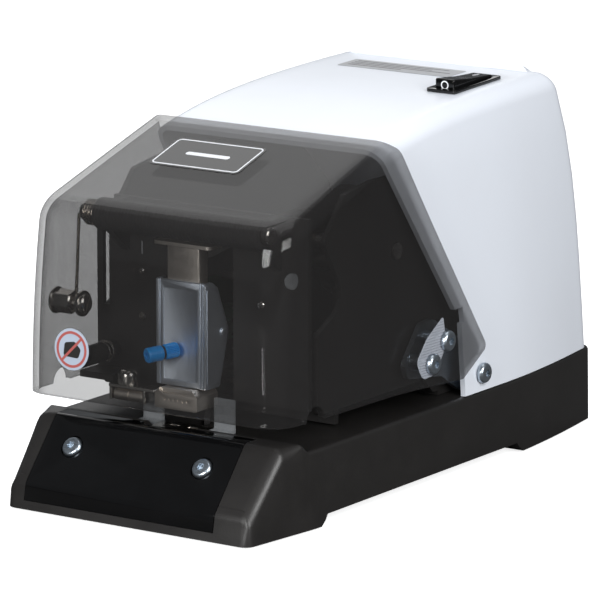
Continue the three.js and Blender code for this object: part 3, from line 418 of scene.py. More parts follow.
# %% Mesh helpers
def rounded(points, radii, steps=5):
    """The outline with each corner turned into an arc."""
    shaped = []
    for i, corner in enumerate(points):
        r = radii[i] if isinstance(radii, (list, tuple)) else radii
        here = Vector(corner)
        if not r:
            shaped.append(here)
            continue
        back = (Vector(points[i - 1]) - here).normalized()
        on = (Vector(points[(i + 1) % len(points)]) - here).normalized()
        half = back.angle(on) / 2
        centre = here + (back + on).normalized() * (r / math.sin(half))
        start = here + back * (r / math.tan(half)) - centre
        end = here + on * (r / math.tan(half)) - centre
        turn = math.atan2(start.cross(end), start.dot(end))
        for k in range(steps + 1):
            shaped.append(centre + Matrix.Rotation(turn * k / steps, 2) @ start)
    return [tuple(p) for p in shaped]


def next_row(bm, row, closed=False):
    """Extrudes a row of corners; returns the new row, in the same order."""
    count = len(row)
    pairs = [(row[i], row[(i + 1) % count]) for i in range(count if closed else count - 1)]
    made = bmesh.ops.extrude_edge_only(bm, edges=[bm.edges.get(p) for p in pairs])["geom"]
    new = {g for g in made if isinstance(g, bmesh.types.BMVert)}
    return [next(e.other_vert(v) for e in v.link_edges if e.other_vert(v) in new) for v in row]


def draw_rows(bm, rows, closed=False):
    """A skin through rows of points: the first row is set down, and each next one is extruded from it."""
    current = [bm.verts.new(p) for p in rows[0]]
    count = len(current)
    for i in range(count if closed else count - 1):
        bm.edges.new((current[i], current[(i + 1) % count]))
    first = current
    for points in rows[1:]:
        current = next_row(bm, current, closed)
        for v, p in zip(current, points):
            v.co = p
    return first, current


def settle(bm, merge=0.01):
    """Merges doubles, clears slivers and turns every face outwards."""
    bmesh.ops.remove_doubles(bm, verts=bm.verts, dist=merge)
    bmesh.ops.dissolve_degenerate(bm, edges=bm.edges, dist=merge / 4)
    bmesh.ops.recalc_face_normals(bm, faces=bm.faces)


def mirror_x(bm):
    """Adds the other half across the middle plane."""
    bmesh.ops.mirror(bm, geom=bm.verts[:] + bm.edges[:] + bm.faces[:], merge_dist=0.01, axis="X")
    settle(bm)


def slice_off(bm, point, normal, faces=None):
    """Cuts with a plane and takes away what lies on the side the normal points to."""
    geom = bm.verts[:] + bm.edges[:] + bm.faces[:]
    if faces is not None:
        geom = list({v for f in faces for v in f.verts}) + list({e for f in faces for e in f.edges}) + list(faces)
    bmesh.ops.bisect_plane(bm, geom=geom, dist=0.0005, plane_co=point, plane_no=normal, clear_outer=True)


def score(bm, point, normal):
    """Cuts with a plane and keeps both sides."""
    bmesh.ops.bisect_plane(bm, geom=bm.verts[:] + bm.edges[:] + bm.faces[:], dist=0.0005, plane_co=point,
                           plane_no=normal)


# %% [markdown]
# ## From mesh to piece
#
# Every piece ends the same way: it is scaled to metres, its sharp edges are marked, its wall, cuts
# and soft edges are added, and it is hung on a body of the frame.
# %% Finishing a piece
def make_piece(name, bm, material, body, stands_for=(), sharp=35, wall=0.0, bevel=0.0, bevel_steps=2,
               carve=()):
    """Turns a bmesh in millimetres into an object in metres that rides on a body of the frame."""
    bmesh.ops.transform(bm, matrix=Matrix.Scale(MM, 4), verts=bm.verts)
    limit = math.radians(sharp)
    for f in bm.faces:
        f.smooth = True
    for e in bm.edges:
        e.smooth = not (len(e.link_faces) == 2 and e.calc_face_angle(0.0) > limit)
    mesh = bpy.data.meshes.new(name)
    bm.to_mesh(mesh)
    bm.free()
    piece = bpy.data.objects.new(name, mesh)
    bpy.context.scene.collection.objects.link(piece)
    mesh.materials.append(material)
    if wall:
        solid = piece.modifiers.new("wall", "SOLIDIFY")
        solid.thickness, solid.offset, solid.use_quality_normals = wall * MM, -1, True
    for tool in carve:
        cut = piece.modifiers.new("cut", "BOOLEAN")
        cut.operation, cut.object, cut.solver = "DIFFERENCE", tool, "MANIFOLD"
    if bevel:
        soft = piece.modifiers.new("soft_edges", "BEVEL")
        soft.width, soft.segments, soft.limit_method = bevel * MM, bevel_steps, "ANGLE"
        soft.angle_limit, soft.harden_normals = limit, False
    if carve:
        bake_modifiers(piece, limit)
        for tool in carve:
            bpy.data.objects.remove(tool)
    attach(piece, body)
    if stands_for:
        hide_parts(*stands_for)
    return piece


def bake_modifiers(piece, limit):
    """Replaces the mesh by what its modifiers make, so that the cutters can go."""
    bpy.context.view_layer.update()
    shown = piece.evaluated_get(bpy.context.evaluated_depsgraph_get())
    mesh = bpy.data.meshes.new_from_object(shown)
    piece.modifiers.clear()
    piece.data = mesh
    bm = bmesh.new()
    bm.from_mesh(mesh)
    for f in bm.faces:
        f.smooth = True
    for e in bm.edges:
        e.smooth = not (len(e.link_faces) == 2 and e.calc_face_angle(0.0) > limit)
    bm.to_mesh(mesh)
    bm.free()


def cutter(bm):
    """A loose mesh used only for carving."""
    bmesh.ops.transform(bm, matrix=Matrix.Scale(MM, 4), verts=bm.verts)
    bmesh.ops.recalc_face_normals(bm, faces=bm.faces)
    mesh = bpy.data.meshes.new("cutter")
    bm.to_mesh(mesh)
    bm.free()
    tool = bpy.data.objects.new("cutter", mesh)
    bpy.context.scene.collection.objects.link(tool)
    return tool


# %% [markdown]
# ## Turned parts and blocks
#
# Screws, knobs, rollers and posts are all turned: half of the outline is drawn once and spun round
# its axis. A matrix then lays the axis along the direction that is wanted.

# %% Turned parts and blocks
def aim_matrix(origin, direction):
    """Puts local +Z along the direction, at the origin."""
    turn = Vector(direction).normalized().to_track_quat("Z", "Y").to_matrix().to_4x4()
    return Matrix.Translation(origin) @ turn


def turned(bm, profile, origin, direction, steps=40):
    """Spins [radius, height] points into a closed solid inside bm."""
    verts = [bm.verts.new((r, 0, h)) for r, h in profile]
    edges = [bm.edges.new(pair) for pair in zip(verts, verts[1:])]
    made = bmesh.ops.spin(bm, geom=verts + edges, cent=(0, 0, 0), axis=(0, 0, 1), angle=math.tau, steps=steps,
                          use_merge=True)
    found = {v for v in verts if v.is_valid}
    reach, stack = set(found), list(found)
    while stack:
        for e in stack.pop().link_edges:
            for v in e.verts:
                if v not in reach:
                    reach.add(v)
                    stack.append(v)
    bmesh.ops.transform(bm, matrix=aim_matrix(origin, direction), verts=list(reach))
    bmesh.ops.remove_doubles(bm, verts=list(reach), dist=0.005)
    faces = {f for v in reach if v.is_valid for f in v.link_faces}
    bmesh.ops.recalc_face_normals(bm, faces=list(faces))
    return made


def block(bm, low, high):
    """A box between two corners."""
    size = [b - a for a, b in zip(low, high)]
    centre = [(a + b) / 2 for a, b in zip(low, high)]
    matrix = Matrix.Translation(centre) @ Matrix.Diagonal((*size, 1))
    return bmesh.ops.create_cube(bm, size=1, matrix=matrix)["verts"]


def cut_box(low, high):
    """A box-shaped cutter between two corners."""
    bm = bmesh.new()
    block(bm, low, high)
    return cutter(bm)


def slab(bm, outline, place, depth):
    """A flat outline, laid out by place(u, v), and extruded by the depth vector."""
    face = bm.faces.new([bm.verts.new(place(u, v)) for u, v in outline])
    made = bmesh.ops.extrude_face_region(bm, geom=[face], use_keep_orig=True)["geom"]
    bmesh.ops.translate(bm, vec=depth, verts=[g for g in made if isinstance(g, bmesh.types.BMVert)])
    bmesh.ops.recalc_face_normals(bm, faces=bm.faces)


print("piece tools are ready")


# %% [markdown]
# ## The base
#
# The base is a shallow black moulding. Its nose slopes up from an upright lip, and a small step takes
# the top down to the paper table. The side edges of the slope are cut back in a broad soft chamfer,
# which is what catches the light; everywhere else the rim is tight. So the rim's radius is not one
# number but changes along the row of points. The underside has an arch between the front and rear
# feet.

# %% Base: outlines
TABLE = 37.0
FRONT, REAR = -150.0, 150.0
top_line = rounded([(-148, 12.8), (-124, 41), (-112, 41), (-108, TABLE), (160, TABLE)], [0, 4, 3, 3, 0])
foot_line = [(-160, 1), (-100, 1), (-97, 3.2), (-95, 6), (66, 6), (68.4, 3.6), (72, 1), (160, 1)]


def along(line, y):
    """The height of a side-view line at y."""
    for (y0, z0), (y1, z1) in zip(line, line[1:]):
        if y <= y1:
            return z0 + (z1 - z0) * (max(y, y0) - y0) / (y1 - y0)
    return line[-1][1]


def base_half(y, z):
    nose = max(-103 - y, 0) / 47
    tail = max(y - 60, 0) / 90
    return 72.6 - 5.8 * nose - 9.8 * tail**1.6 - (0.02 + 0.07 * nose) * z


def base_rim(y):
    """Radius of the top edge: broad beside the slope, tight elsewhere."""
    if y < -122:
        return 6.2
    return 1.8 + 4.4 * max(0, (-112 - y) / 10)


# %% [markdown]
# ### The shell of the base
#
# The row of points is carried from the foot up to the rim, round the rim, and in to the middle. The
# hollow, the panel opening, the anvil opening and the slot for the trigger are then carved.
# %% Base: the shell
REAR_CORNER, FRONT_CORNER = 6, 5


def base_row():
    """[x, y, normal x, normal y, rim] from the middle of the rear round to the middle of the front."""
    row = [(0, REAR, 0, 1, 1.8)]
    for k in range(7):
        a = math.pi / 2 * (1 - k / 6)
        row.append((base_half(REAR - REAR_CORNER, 0) - REAR_CORNER + REAR_CORNER * math.cos(a),
                    REAR - REAR_CORNER + REAR_CORNER * math.sin(a), math.cos(a), math.sin(a), 1.8))
    stops = [p[0] for p in top_line] + [p[0] for p in foot_line]
    stops += [130, 115, 100, 80, 60, 30, 0, -30, -60, -90, -136, -130]
    for y in sorted({s for s in stops if -144 < s < REAR - 6.5}, reverse=True):
        row.append((base_half(y, 0), y, 1, 0, base_rim(y)))
    for k in range(7):
        a = -math.pi / 2 * k / 6
        row.append((base_half(FRONT + FRONT_CORNER, 0) - FRONT_CORNER + FRONT_CORNER * math.cos(a),
                    FRONT + FRONT_CORNER + FRONT_CORNER * math.sin(a), math.cos(a), math.sin(a),
                    6.2 - 4.7 * k / 6))
    row.append((0, FRONT, 0, -1, 1.5))
    return row


def base_point(spot, height, pull):
    """A corner of the base: height 0 is the foot and 1 the start of the rim; pull is the way round the rim."""
    x, y, nx, ny, r = spot
    y = max(y, FRONT + 2 * min(1, height + pull)) if y < -144 else y
    back = r * (1 - math.cos(pull * math.pi / 2))
    y_in = y - ny * back
    top = along(top_line, y_in)
    z = along(foot_line, y) + (top - r - along(foot_line, y)) * height
    if pull:
        z = top - r + r * math.sin(pull * math.pi / 2)
    lean = base_half(y, 0) - base_half(y, z)
    return (max(x - lean - nx * back, 0) if x else 0, y_in, z)


bm = bmesh.new()
row = base_row()
levels = [(h, 0) for h in (0, 0.08, 0.5, 1)] + [(1, p) for p in (0.2, 0.4, 0.6, 0.8, 1)]
rows = [[base_point(s, h, p) for s in row] for h, p in levels]
rows.append([(x * 0.93, y + (2 if y < -147 else 0), along(top_line, y)) for x, y, z in rows[-1]])
rows.append([(0, y, z) for x, y, z in rows[-1]])
rows.insert(0, [(0, y, z) for x, y, z in rows[0]])
draw_rows(bm, rows)
mirror_x(bm)
hollow = bmesh.new()
slab(hollow, [(-138, -5), (-138, 15), (-121, 33.2), (143, 33.2), (143, -5)], lambda y, z: Vector((-59, y, z)),
     Vector((118, 0, 0)))
openings = [cutter(hollow), cut_box((-57.4, -170, 5), (47.6, -115, 60)), cut_box((-14.3, -119.8, 30), (14.3, -97.7, 60)),
            cut_box((-3.5, -93, 30), (3.5, -72, 60))]
base_shell = make_piece("base_moulding", bm, satin_black, "base", ["base_shell"], sharp=50,
                        carve=openings)
print("base box:", [round(v, 4) for v in (*base_shell.bound_box[0], *base_shell.bound_box[6])])


# %% [markdown]
# ## The nose panel
#
# A separate panel of high gloss black lies flush in the nose, with a fine joint line round it. Two
# button-head screws sit in round pockets. The panel is one strip across the nose that follows the
# lip, the slope and the top.

# %% Nose panel
PANEL_X = (-57.1, 47.3)
slope = math.atan2(41 - 12.8, 24)
slope_normal = Vector((0, -math.sin(slope), math.cos(slope)))


def on_slope(x, share, lift=0.0):
    return Vector((x, -148 + 24 * share, 12.8 + 28.2 * share)) + slope_normal * lift


panel_line = rounded([(-149.3, 5.3), (-148, 12.8), (-124, 41), (-115.4, 41)], [0, 2.2, 3.2, 0], 6)
bm = bmesh.new()
draw_rows(bm, [[(x, y, z) for y, z in panel_line] for x in (*PANEL_X,)])
settle(bm)
if sum((f.normal.z for f in bm.faces)) < 0:
    bmesh.ops.reverse_faces(bm, faces=bm.faces)
pockets = []
for x in (-41, 31):
    hole = bmesh.new()
    turned(hole, [(0, -1.6), (5.6, -1.6), (5.6, 9), (0, 9)], on_slope(x, 0.58), slope_normal, 48)
    pockets.append(cutter(hole))
hole = bmesh.new()
block(hole, (-14.3, -119.8, 30), (14.3, -90, 60))
pockets.append(cutter(hole))
make_piece("nose_gloss_panel", bm, gloss_black, "base", ["nose_panel"], sharp=40, wall=2.6,
           bevel=0.5, carve=pockets)


# %% [markdown]
# ## Screws
#
# The same button-head screw holds the nose, the hinge and the cover. Its dome is turned, and the
# star-shaped socket is carved with a six-lobed cutter. One function makes them all.

# %% Button-head screws
def star_socket(r_out, r_in, depth, origin, direction):
    bm = bmesh.new()
    outline = []
    for k in range(48):
        a = math.tau * k / 48
        r = (r_out + r_in) / 2 + (r_out - r_in) / 2 * math.cos(6 * a)
        outline.append((r * math.cos(a), r * math.sin(a)))
    place = aim_matrix(origin, direction)
    slab(bm, outline, lambda u, v: place @ Vector((u, v, 0)), Vector(direction).normalized() * depth)
    return cutter(bm)


def button_screw(name, seat, direction, body, node, head=4.9, rise=2.8):
    """seat is under the head."""
    dome = [(head - 1.5 * (1 - math.cos(a)), rise - 1.9 + 1.9 * math.sin(a))
            for a in (math.pi / 2 * k / 7 for k in range(8))]
    bm = bmesh.new()
    turned(bm, [(0, -6), (2, -6), (2, 0), (head - 0.3, 0), (head, 0.3), *dome, (2.2, rise + 0.12), (0, rise + 0.15)],
           seat, direction)
    socket = star_socket(2.05, 1.45, 3, Vector(seat) + Vector(direction).normalized() * (rise - 1.7), direction)
    return make_piece(name, bm, zinc_plate, body, [node], sharp=42, carve=[socket])


for x, side in ((-41, "left"), (31, "right")):
    button_screw(f"nose_button_{side}", on_slope(x, 0.58, -1.3), slope_normal, "base", f"nose_screw_{side}")


# %% [markdown]
# ## The rear housing
#
# The white housing is sheet metal drawn over a form: flat sides that lean in a little, a rounded rim,
# and a roof that climbs from under the cover and levels off. Its front is cut on a slant so it can
# pass in under the cover.

# %% Housing: shape
def housing_rear(z):
    up = (z - 37.3) / 135
    return 146.6 - 12 * up - 14 * up**4


def housing_half(y, z):
    up = z - 37.3
    narrowing = 9.6 * (max(y - 60, 0) / 90) ** 1.6
    return 71.8 - 0.073 * up - narrowing * (1 - 0.0058 * up)


def housing_roof(y):
    return 177 - 21.5 * math.exp(-(max(y, -58) + 58) / 52)


def housing_plan(z):
    """[x, y, normal x, normal y] from the middle of the rear wall to the open front."""
    rear, r = housing_rear(z), 9.0
    plan = [(0, rear, 0, 1)]
    for k in range(9):
        a = math.pi / 2 * (1 - k / 8)
        plan.append((housing_half(rear - r, z) - r + r * math.cos(a), rear - r + r * math.sin(a),
                     math.cos(a), math.sin(a)))
    for k in range(1, 19):
        y = rear - r + (-66 - rear + r) * k / 18
        plan.append((housing_half(y, z), y, 1, 0))
    return plan


def shell_rows(plan, roof, rim, foot, walls=6, rims=7):
    """Rows for a leaning wall under a roof of changing height, with a rounded rim between them."""
    def settled(i, height_at):
        z = foot(0)
        for _ in range(5):
            x, y, nx, ny = plan(z)[i]
            z = height_at(y)
        return x, y, z, nx, ny

    rows, count = [], len(plan(50.0))
    for k in range(walls + 1):
        at = [settled(i, lambda y: foot(y) + (roof(y) - rim - foot(y)) * k / walls) for i in range(count)]
        rows.append([(x, y, z) for x, y, z, nx, ny in at])
    for k in range(1, rims + 1):
        a = math.pi / 2 * k / rims
        ring = []
        for i in range(count):
            x, y, z, nx, ny = settled(i, lambda y: roof(y) - rim + rim * math.sin(a))
            back = rim * (1 - math.cos(a))
            ring.append((max(x - nx * back, 0), y - ny * back, roof(y - ny * back) - rim + rim * math.sin(a)))
        rows.append(ring)
    rows.append([(x * 0.9, y, roof(y)) for x, y, z in rows[-1]])
    rows.append([(0, y, roof(y)) for x, y, z in rows[-1]])
    return rows


# %% [markdown]
# ### The housing itself
#
# The front edge is cut upright low down and on a slant above, and the openings for the switch and the
# inlet are carved.
# %% Housing: the piece
bm = bmesh.new()
draw_rows(bm, shell_rows(housing_plan, housing_roof, 9.0, lambda y: 37.3))
mirror_x(bm)
score(bm, (0, 0, 72), (0, 0, 1))
low = [f for f in bm.faces if f.calc_center_median().z < 72]
slice_off(bm, (0, 21, 0), (0, -1, 0), low)
high = [f for f in bm.faces if f.calc_center_median().z > 72]
slice_off(bm, (0, 21, 72), (0, -114, -77), high)
settle(bm)
openings = [cut_box((34.5, 46, 150), (48.5, 85, 200)), cut_box((-41.5, 120, 54), (-10.5, 200, 78))]
make_piece("housing_shell", bm, white_paint, "base", ["rear_housing"], sharp=32,
           wall=2.6, carve=openings)
for side, s in (("left", -1), ("right", 1)):
    button_screw(f"hinge_button_{side}", (s * (housing_half(35.5, 46) + 0.7), 35.5, 46), (s, 0, 0), "base",
                 f"hinge_screw_{side}")
print("housing roof at the switch:", round(housing_roof(65.5), 1), "mm")


# %% [markdown]
# ## The smoked cover
#
# The cover is drawn up in the same way, with a rounder front corner, and its rear edge is cut by a
# row of planes so that its corners come out round. It gets a 3 mm wall, and a half-round notch is
# carved in each side near the front.

# %% Cover: shape
def cover_front(z):
    return -132.6 + 6.6 * (max(z - 55, 0) / 85) ** 2


def cover_half(y, z):
    share = min((y + 131) / 141, 1)
    low, high = 71 + 4.8 * share, 70 - 1.6 * share
    return low + (high - low) * (z - 50) / 115


def cover_roof(y):
    return 138.9 + 0.31 * (y + 124)


def cover_foot(y):
    return 50.3 + max(-100 - y, 0) * 0.02 - max(y + 40, 0) * 0.0457


def cover_plan(z):
    front, r = cover_front(z), 14.0
    plan = []
    for k in range(18):
        y = 40 + (front + r - 40) * k / 17
        plan.append((cover_half(y, z), y, 1, 0))
    for k in range(1, 13):
        a = -math.pi / 2 * k / 12
        plan.append((cover_half(front + r, z) - r + r * math.cos(a), front + r + r * math.sin(a), math.cos(a),
                     math.sin(a)))
    plan.append((0, front, 0, -1))
    return plan


rear_edge = rounded([(-20, 47.4), (12.5, 47.9), (34.2, 59.4), (-31.5, 162), (-47.5, 174)], [0, 1.5, 3, 5, 0], 4)
bm = bmesh.new()
draw_rows(bm, shell_rows(cover_plan, cover_roof, 10.0, cover_foot, walls=7, rims=9))
mirror_x(bm)
for (y0, z0), (y1, z1) in zip(rear_edge[1:], rear_edge[2:]):
    if math.hypot(y1 - y0, z1 - z0) > 0.05:
        slice_off(bm, (0, y0, z0), (0, z1 - z0, y0 - y1))
settle(bm)
notch = bmesh.new()
turned(notch, [(0, 0), (7, 0), (7, 200), (0, 200)], (-100, -104, 49.9), (1, 0, 0), 48)
cover = make_piece("smoked_shell", bm, smoked_clear, "cover", ["smoked_cover"], sharp=32, wall=3.0,
                   bevel=0.7, bevel_steps=2, carve=[cutter(notch)])
for y, z, level in ((-0.8, 68.4, "upper"), (-13.4, 59.8, "lower")):
    for side, s in (("left", -1), ("right", 1)):
        button_screw(f"cover_button_{side}_{level}", (s * (cover_half(y, z - 5) + 0.2), y, z), (s, 0, 0), "cover",
                     f"cover_screw_{side}_{level}")
print("cover:", len(cover.data.polygons), "faces")


# %% [markdown]
# ## Trim on the cover
#
# The cover carries a label on its slope, a round sticker on its front wall and a ribbed grip on each
# side. Labels are thin sheets that follow the surface under them. The grip is a leaf shape, filled
# with ridges that are cut to fit it.

# %% Labels
def sheet_on(name, outline, surface, material, body, lift=0.12, thick=0.1, grid=4.0):
    """A thin label. surface(u, v) gives the point under a spot of the flat outline."""
    bm = bmesh.new()
    bm.faces.new([bm.verts.new((u, v, 0)) for u, v in outline])
    reach = max(max(abs(c) for c in p) for p in outline)
    for k in range(int(-reach / grid), int(reach / grid) + 1):
        score(bm, (k * grid, 0, 0), (1, 0, 0))
        score(bm, (0, k * grid, 0), (0, 1, 0))
    made = bmesh.ops.extrude_face_region(bm, geom=bm.faces[:], use_keep_orig=True)["geom"]
    top = {g for g in made if isinstance(g, bmesh.types.BMVert)}
    for v in bm.verts:
        point, out = surface(v.co.x, v.co.y)
        v.co = point + out * (lift + (thick if v in top else 0))
    bmesh.ops.recalc_face_normals(bm, faces=bm.faces)
    return make_piece(name, bm, material, body, sharp=30)


def ring_outline(outer, inner, steps=48):
    """A ring as one outline, with a hair-thin slit where it closes."""
    turn = [math.tau * k / steps for k in range(steps + 1)]
    return ([(outer * math.cos(a), outer * math.sin(a)) for a in turn]
            + [(inner * math.cos(a), inner * math.sin(a)) for a in reversed(turn)])


def frame_outline(half_u, half_v, radius, width):
    """A rounded rectangle's border, as one outline."""
    def loop(shrink):
        u, v, r = half_u - shrink, half_v - shrink, radius - shrink
        points = rounded([(u, 0), (u, v), (-u, v), (-u, -v), (u, -v)], [0, r, r, r, r])
        return points + [points[0]]
    return loop(0) + loop(width)[::-1]


def disc_outline(radius, steps=48):
    return [(radius * math.cos(math.tau * k / steps), radius * math.sin(math.tau * k / steps)) for k in range(steps)]


def cover_slope(u, v):
    """On the cover's slope, measured from the middle of its label."""
    tilt = math.atan(0.31)
    y = -68.3 + v * math.cos(tilt)
    return Vector((-11.5 + u, y, cover_roof(y))), Vector((0, -math.sin(tilt), math.cos(tilt)))


def cover_wall(u, v):
    """On the cover's front wall, measured from the middle of its sticker."""
    z = 74 + v
    return Vector((-42 + u, cover_front(z), z)), Vector((0, -1, 0))


label = rounded([(-25, -13.4), (25, -13.4), (25, 13.4), (-25, 13.4)], 3.2)
sheet_on("slope_label", label, cover_slope, gloss_black, "cover")
sheet_on("slope_label_border", frame_outline(23.9, 12.3, 2.4, 0.7), cover_slope, print_white, "cover",
         0.24)
label_rule = rounded([(-12, -1.4), (12, -1.4), (12, 1.4), (-12, 1.4)], 1.2)
sheet_on("slope_label_rule", label_rule, cover_slope, print_white, "cover", 0.24)
sheet_on("round_sticker", disc_outline(9.6), cover_wall, sticker_blue, "cover")
sheet_on("sticker_ring", ring_outline(8.4, 7.2), cover_wall, print_red, "cover", 0.24)
bar_turn = Matrix.Rotation(math.radians(45), 2)
bar = [tuple(bar_turn @ Vector(p)) for p in ((-7.3, -0.6), (7.3, -0.6), (7.3, 0.6), (-7.3, 0.6))]
sheet_on("sticker_bar", bar, cover_wall, print_red, "cover", 0.24)
plain_blob = rounded([(-4.6, -3.4), (3.8, -3.8), (5.2, 0.4), (1.6, 3.8), (-3.9, 2.9)], [1.4, 1.4, 1.4, 1.4, 1.4], 4)
sheet_on("sticker_shape", plain_blob, cover_wall, wall_black, "cover", 0.18)
print("labels on the cover: 2")


# %% [markdown]
# ### Grip patches
#
# Each ridge is a short bar. Its ends come from where its level crosses the leaf outline.
# %% Grip patches
def span_at(outline, z):
    """Where a level line crosses the outline."""
    hits = []
    for (y0, z0), (y1, z1) in zip(outline, outline[1:] + outline[:1]):
        if (z0 - z) * (z1 - z) < 0:
            hits.append(y0 + (y1 - y0) * (z - z0) / (z1 - z0))
    return (min(hits), max(hits)) if len(hits) > 1 else None


GRIP = rounded([(-1.8, 80), (-15.8, 72), (-25, 62.2), (-20.5, 53.2), (-9.5, 54.6), (-0.6, 66.5)],
               [1, 16, 4, 4.5, 10, 8], 6)
RIDGE_PITCH = 1.25


def grip_patch(side, s):
    bm = bmesh.new()
    def at(y, z, out):
        return Vector((s * (cover_half(y, z) + out), y, z))
    slab(bm, GRIP, lambda y, z: at(y, z, 0.02), Vector((s * 0.16, 0, 0)))
    z = 54.2
    while z < 79:
        span = span_at(GRIP, z)
        if span and span[1] - span[0] > 1.5:
            y0, y1 = span[0] + 0.5, span[1] - 0.5
            rows = [[at(y, z + dz, out) for dz, out in ((-0.42, 0.12), (-0.16, 0.5), (0.16, 0.5), (0.42, 0.12))]
                    for y in (y0, (y0 + y1) / 2, y1)]
            first, last = draw_rows(bm, rows, closed=True)
            bm.faces.new(first)
            bm.faces.new(last)
        z += RIDGE_PITCH
    bmesh.ops.recalc_face_normals(bm, faces=bm.faces)
    return make_piece(f"grip_{side}", bm, grip_grey, "cover", sharp=28)


for side, s in (("left", -1), ("right", 1)):
    grip_patch(side, s)


# %% [markdown]
# ## Switch and rating strip
#
# The rocker sits in a bezel on the roof. Its front half is pressed up, so the machine is off, and
# carries the usual ring; the other half carries a bar. Both marks are thin sheets on the rocker's own
# faces.

# %% Switch
ROOF_ANGLE = math.atan(21.5 / 52 * math.exp(-(65.5 + 58) / 52))
roof_frame = (Matrix.Translation((41.5, 65.5, housing_roof(65.5))) @ Matrix.Rotation(ROOF_ANGLE, 4, "X"))


def roof_point(x, y, z):
    return roof_frame @ Vector((x, y, z))


bezel_line = rounded([(8.2, 0), (8.2, 20.6), (-8.2, 20.6), (-8.2, -20.6), (8.2, -20.6)], [0, 1.6, 1.6, 1.6, 1.6])
bm = bmesh.new()
slab(bm, bezel_line, lambda u, v: roof_point(u, v, 0.15), roof_frame.to_3x3() @ Vector((0, 0, 1.45)))
hole = bmesh.new()
block(hole, (-5.5, -17.6, -9), (5.5, 17.6, 9))
bmesh.ops.transform(hole, matrix=roof_frame, verts=hole.verts)
make_piece("switch_surround", bm, gloss_black, "base", ["switch_bezel"], sharp=30, bevel=0.45,
           bevel_steps=3, carve=[cutter(hole)])
rocker_line = rounded([(-16.8, -3.5), (0, -5.5), (16.8, -3.5), (16.6, 2.6), (0, 3.8), (-16.6, 6)],
                      [0.6, 2, 0.6, 0.8, 8, 0.8], 8)
bm = bmesh.new()
slab(bm, rocker_line, lambda u, v: roof_point(-5.2, u, v), roof_frame.to_3x3() @ Vector((10.4, 0, 0)))
make_piece("rocker_cap", bm, gloss_black, "rocker", ["rocker"], sharp=30, bevel=0.5, bevel_steps=3)


def rocker_end(u, v):
    """On the raised front end of the rocker."""
    return roof_point(u, -16.64, 3.0 + v), roof_frame.to_3x3() @ Vector((0, -1, 0))


def rocker_top(u, v):
    """On the low rear half of the rocker's top."""
    tilt = math.atan((2.6 - 3.8) / 16.6)
    point = roof_point(u, 10.5 + v * math.cos(tilt), 3.8 - 1.2 * 10.5 / 16.6 + v * math.sin(tilt))
    return point, roof_frame.to_3x3() @ Vector((0, -math.sin(tilt), math.cos(tilt)))


sheet_on("off_mark", ring_outline(2.1, 1.5), rocker_end, print_white, "rocker", 0.04)
sheet_on("on_mark", [(-0.35, -2.6), (0.35, -2.6), (0.35, 2.6), (-0.35, 2.6)], rocker_top, print_white, "rocker",
         0.04)


def on_roof(u, v):
    y = 85.5 + v
    return Vector((-6.5 + u, y, housing_roof(y))), Vector((0, -math.sin(ROOF_ANGLE), math.cos(ROOF_ANGLE)))


strip_line = rounded([(-31.5, -8.5), (31.5, -8.5), (31.5, 8.5), (-31.5, 8.5)], 0.8, 3)
sheet_on("rating_strip", strip_line, on_roof, plate_grey, "base")
for k, (length, v) in enumerate(((52, 4.6), (44, 1.6), (56, -1.4), (30, -4.4))):
    row_line = [(-28, v), (-28 + length, v), (-28 + length, v + 0.7), (-28, v + 0.7)]
    sheet_on(f"rating_row_{k}", row_line, on_roof, wall_black, "base", 0.24, 0.03)
print("switch and strip done")


# %% [markdown]
# ## Wire parts
#
# The cover's spring is one wire: a few turns round the cross rod, then a straight leg to the post on
# the cover. The frame has it as two solids, because the leg turns when the cover opens. A section is
# carried along the wire's path, and each new ring is turned only as far as the path bends.

# %% Spring
def wire_along(bm, points, radius, sides=14):
    """A round wire through points, closed by a flat face at each end."""
    points = [Vector(p) for p in points]
    ahead = [(b - a).normalized() for a, b in zip(points, points[1:])]
    ahead.append(ahead[-1])
    side = ahead[0].orthogonal().normalized()
    rows = []
    for i, p in enumerate(points):
        along_here = (ahead[max(i - 1, 0)] + ahead[i]).normalized()
        side = (side - along_here * side.dot(along_here)).normalized()
        up = along_here.cross(side)
        rows.append([p + (side * math.cos(a) + up * math.sin(a)) * radius
                     for a in (math.tau * k / sides for k in range(sides))])
    first, last = draw_rows(bm, rows, closed=True)
    bm.faces.new(first)
    bm.faces.new(last)
    bmesh.ops.recalc_face_normals(bm, faces=bm.faces)


COIL = {"x": -51.9, "y": -105, "z": 132, "r": 5.3, "wire": 0.75, "pitch": 1.55, "turns": 3.5}
coil_path = []
for k in range(int(COIL["turns"] * 36) + 1):
    a = math.tau * k / 36
    coil_path.append((COIL["x"] + COIL["pitch"] * k / 36, COIL["y"] + COIL["r"] * math.cos(a),
                      COIL["z"] + COIL["r"] * math.sin(a)))
bm = bmesh.new()
wire_along(bm, coil_path, COIL["wire"])
make_piece("spring_coil", bm, spring_wire, "base", ["cover_spring"], sharp=60)
leg_start, leg_way = Vector((-53.6, -110.3, 132)), Vector((0, -3.0, -42)).normalized()
hook = [leg_start + leg_way * t for t in (0, 12, 24, 36, 43)]
hook += [hook[-1] + leg_way * (3 * math.sin(a)) + Vector((-3 * (1 - math.cos(a)), 0, 0)) for a in (0.4, 0.8, 1.2)]
bm = bmesh.new()
wire_along(bm, hook, COIL["wire"])
make_piece("spring_leg_wire", bm, spring_wire, "spring_leg", ["cover_spring_leg"], sharp=60)
print("coil rings:", len(coil_path))


# %% [markdown]
# ## Rubber sleeve and cross rod
#
# The rod across the front carries a ribbed rubber sleeve, so the turned outline simply goes up and
# down along it.

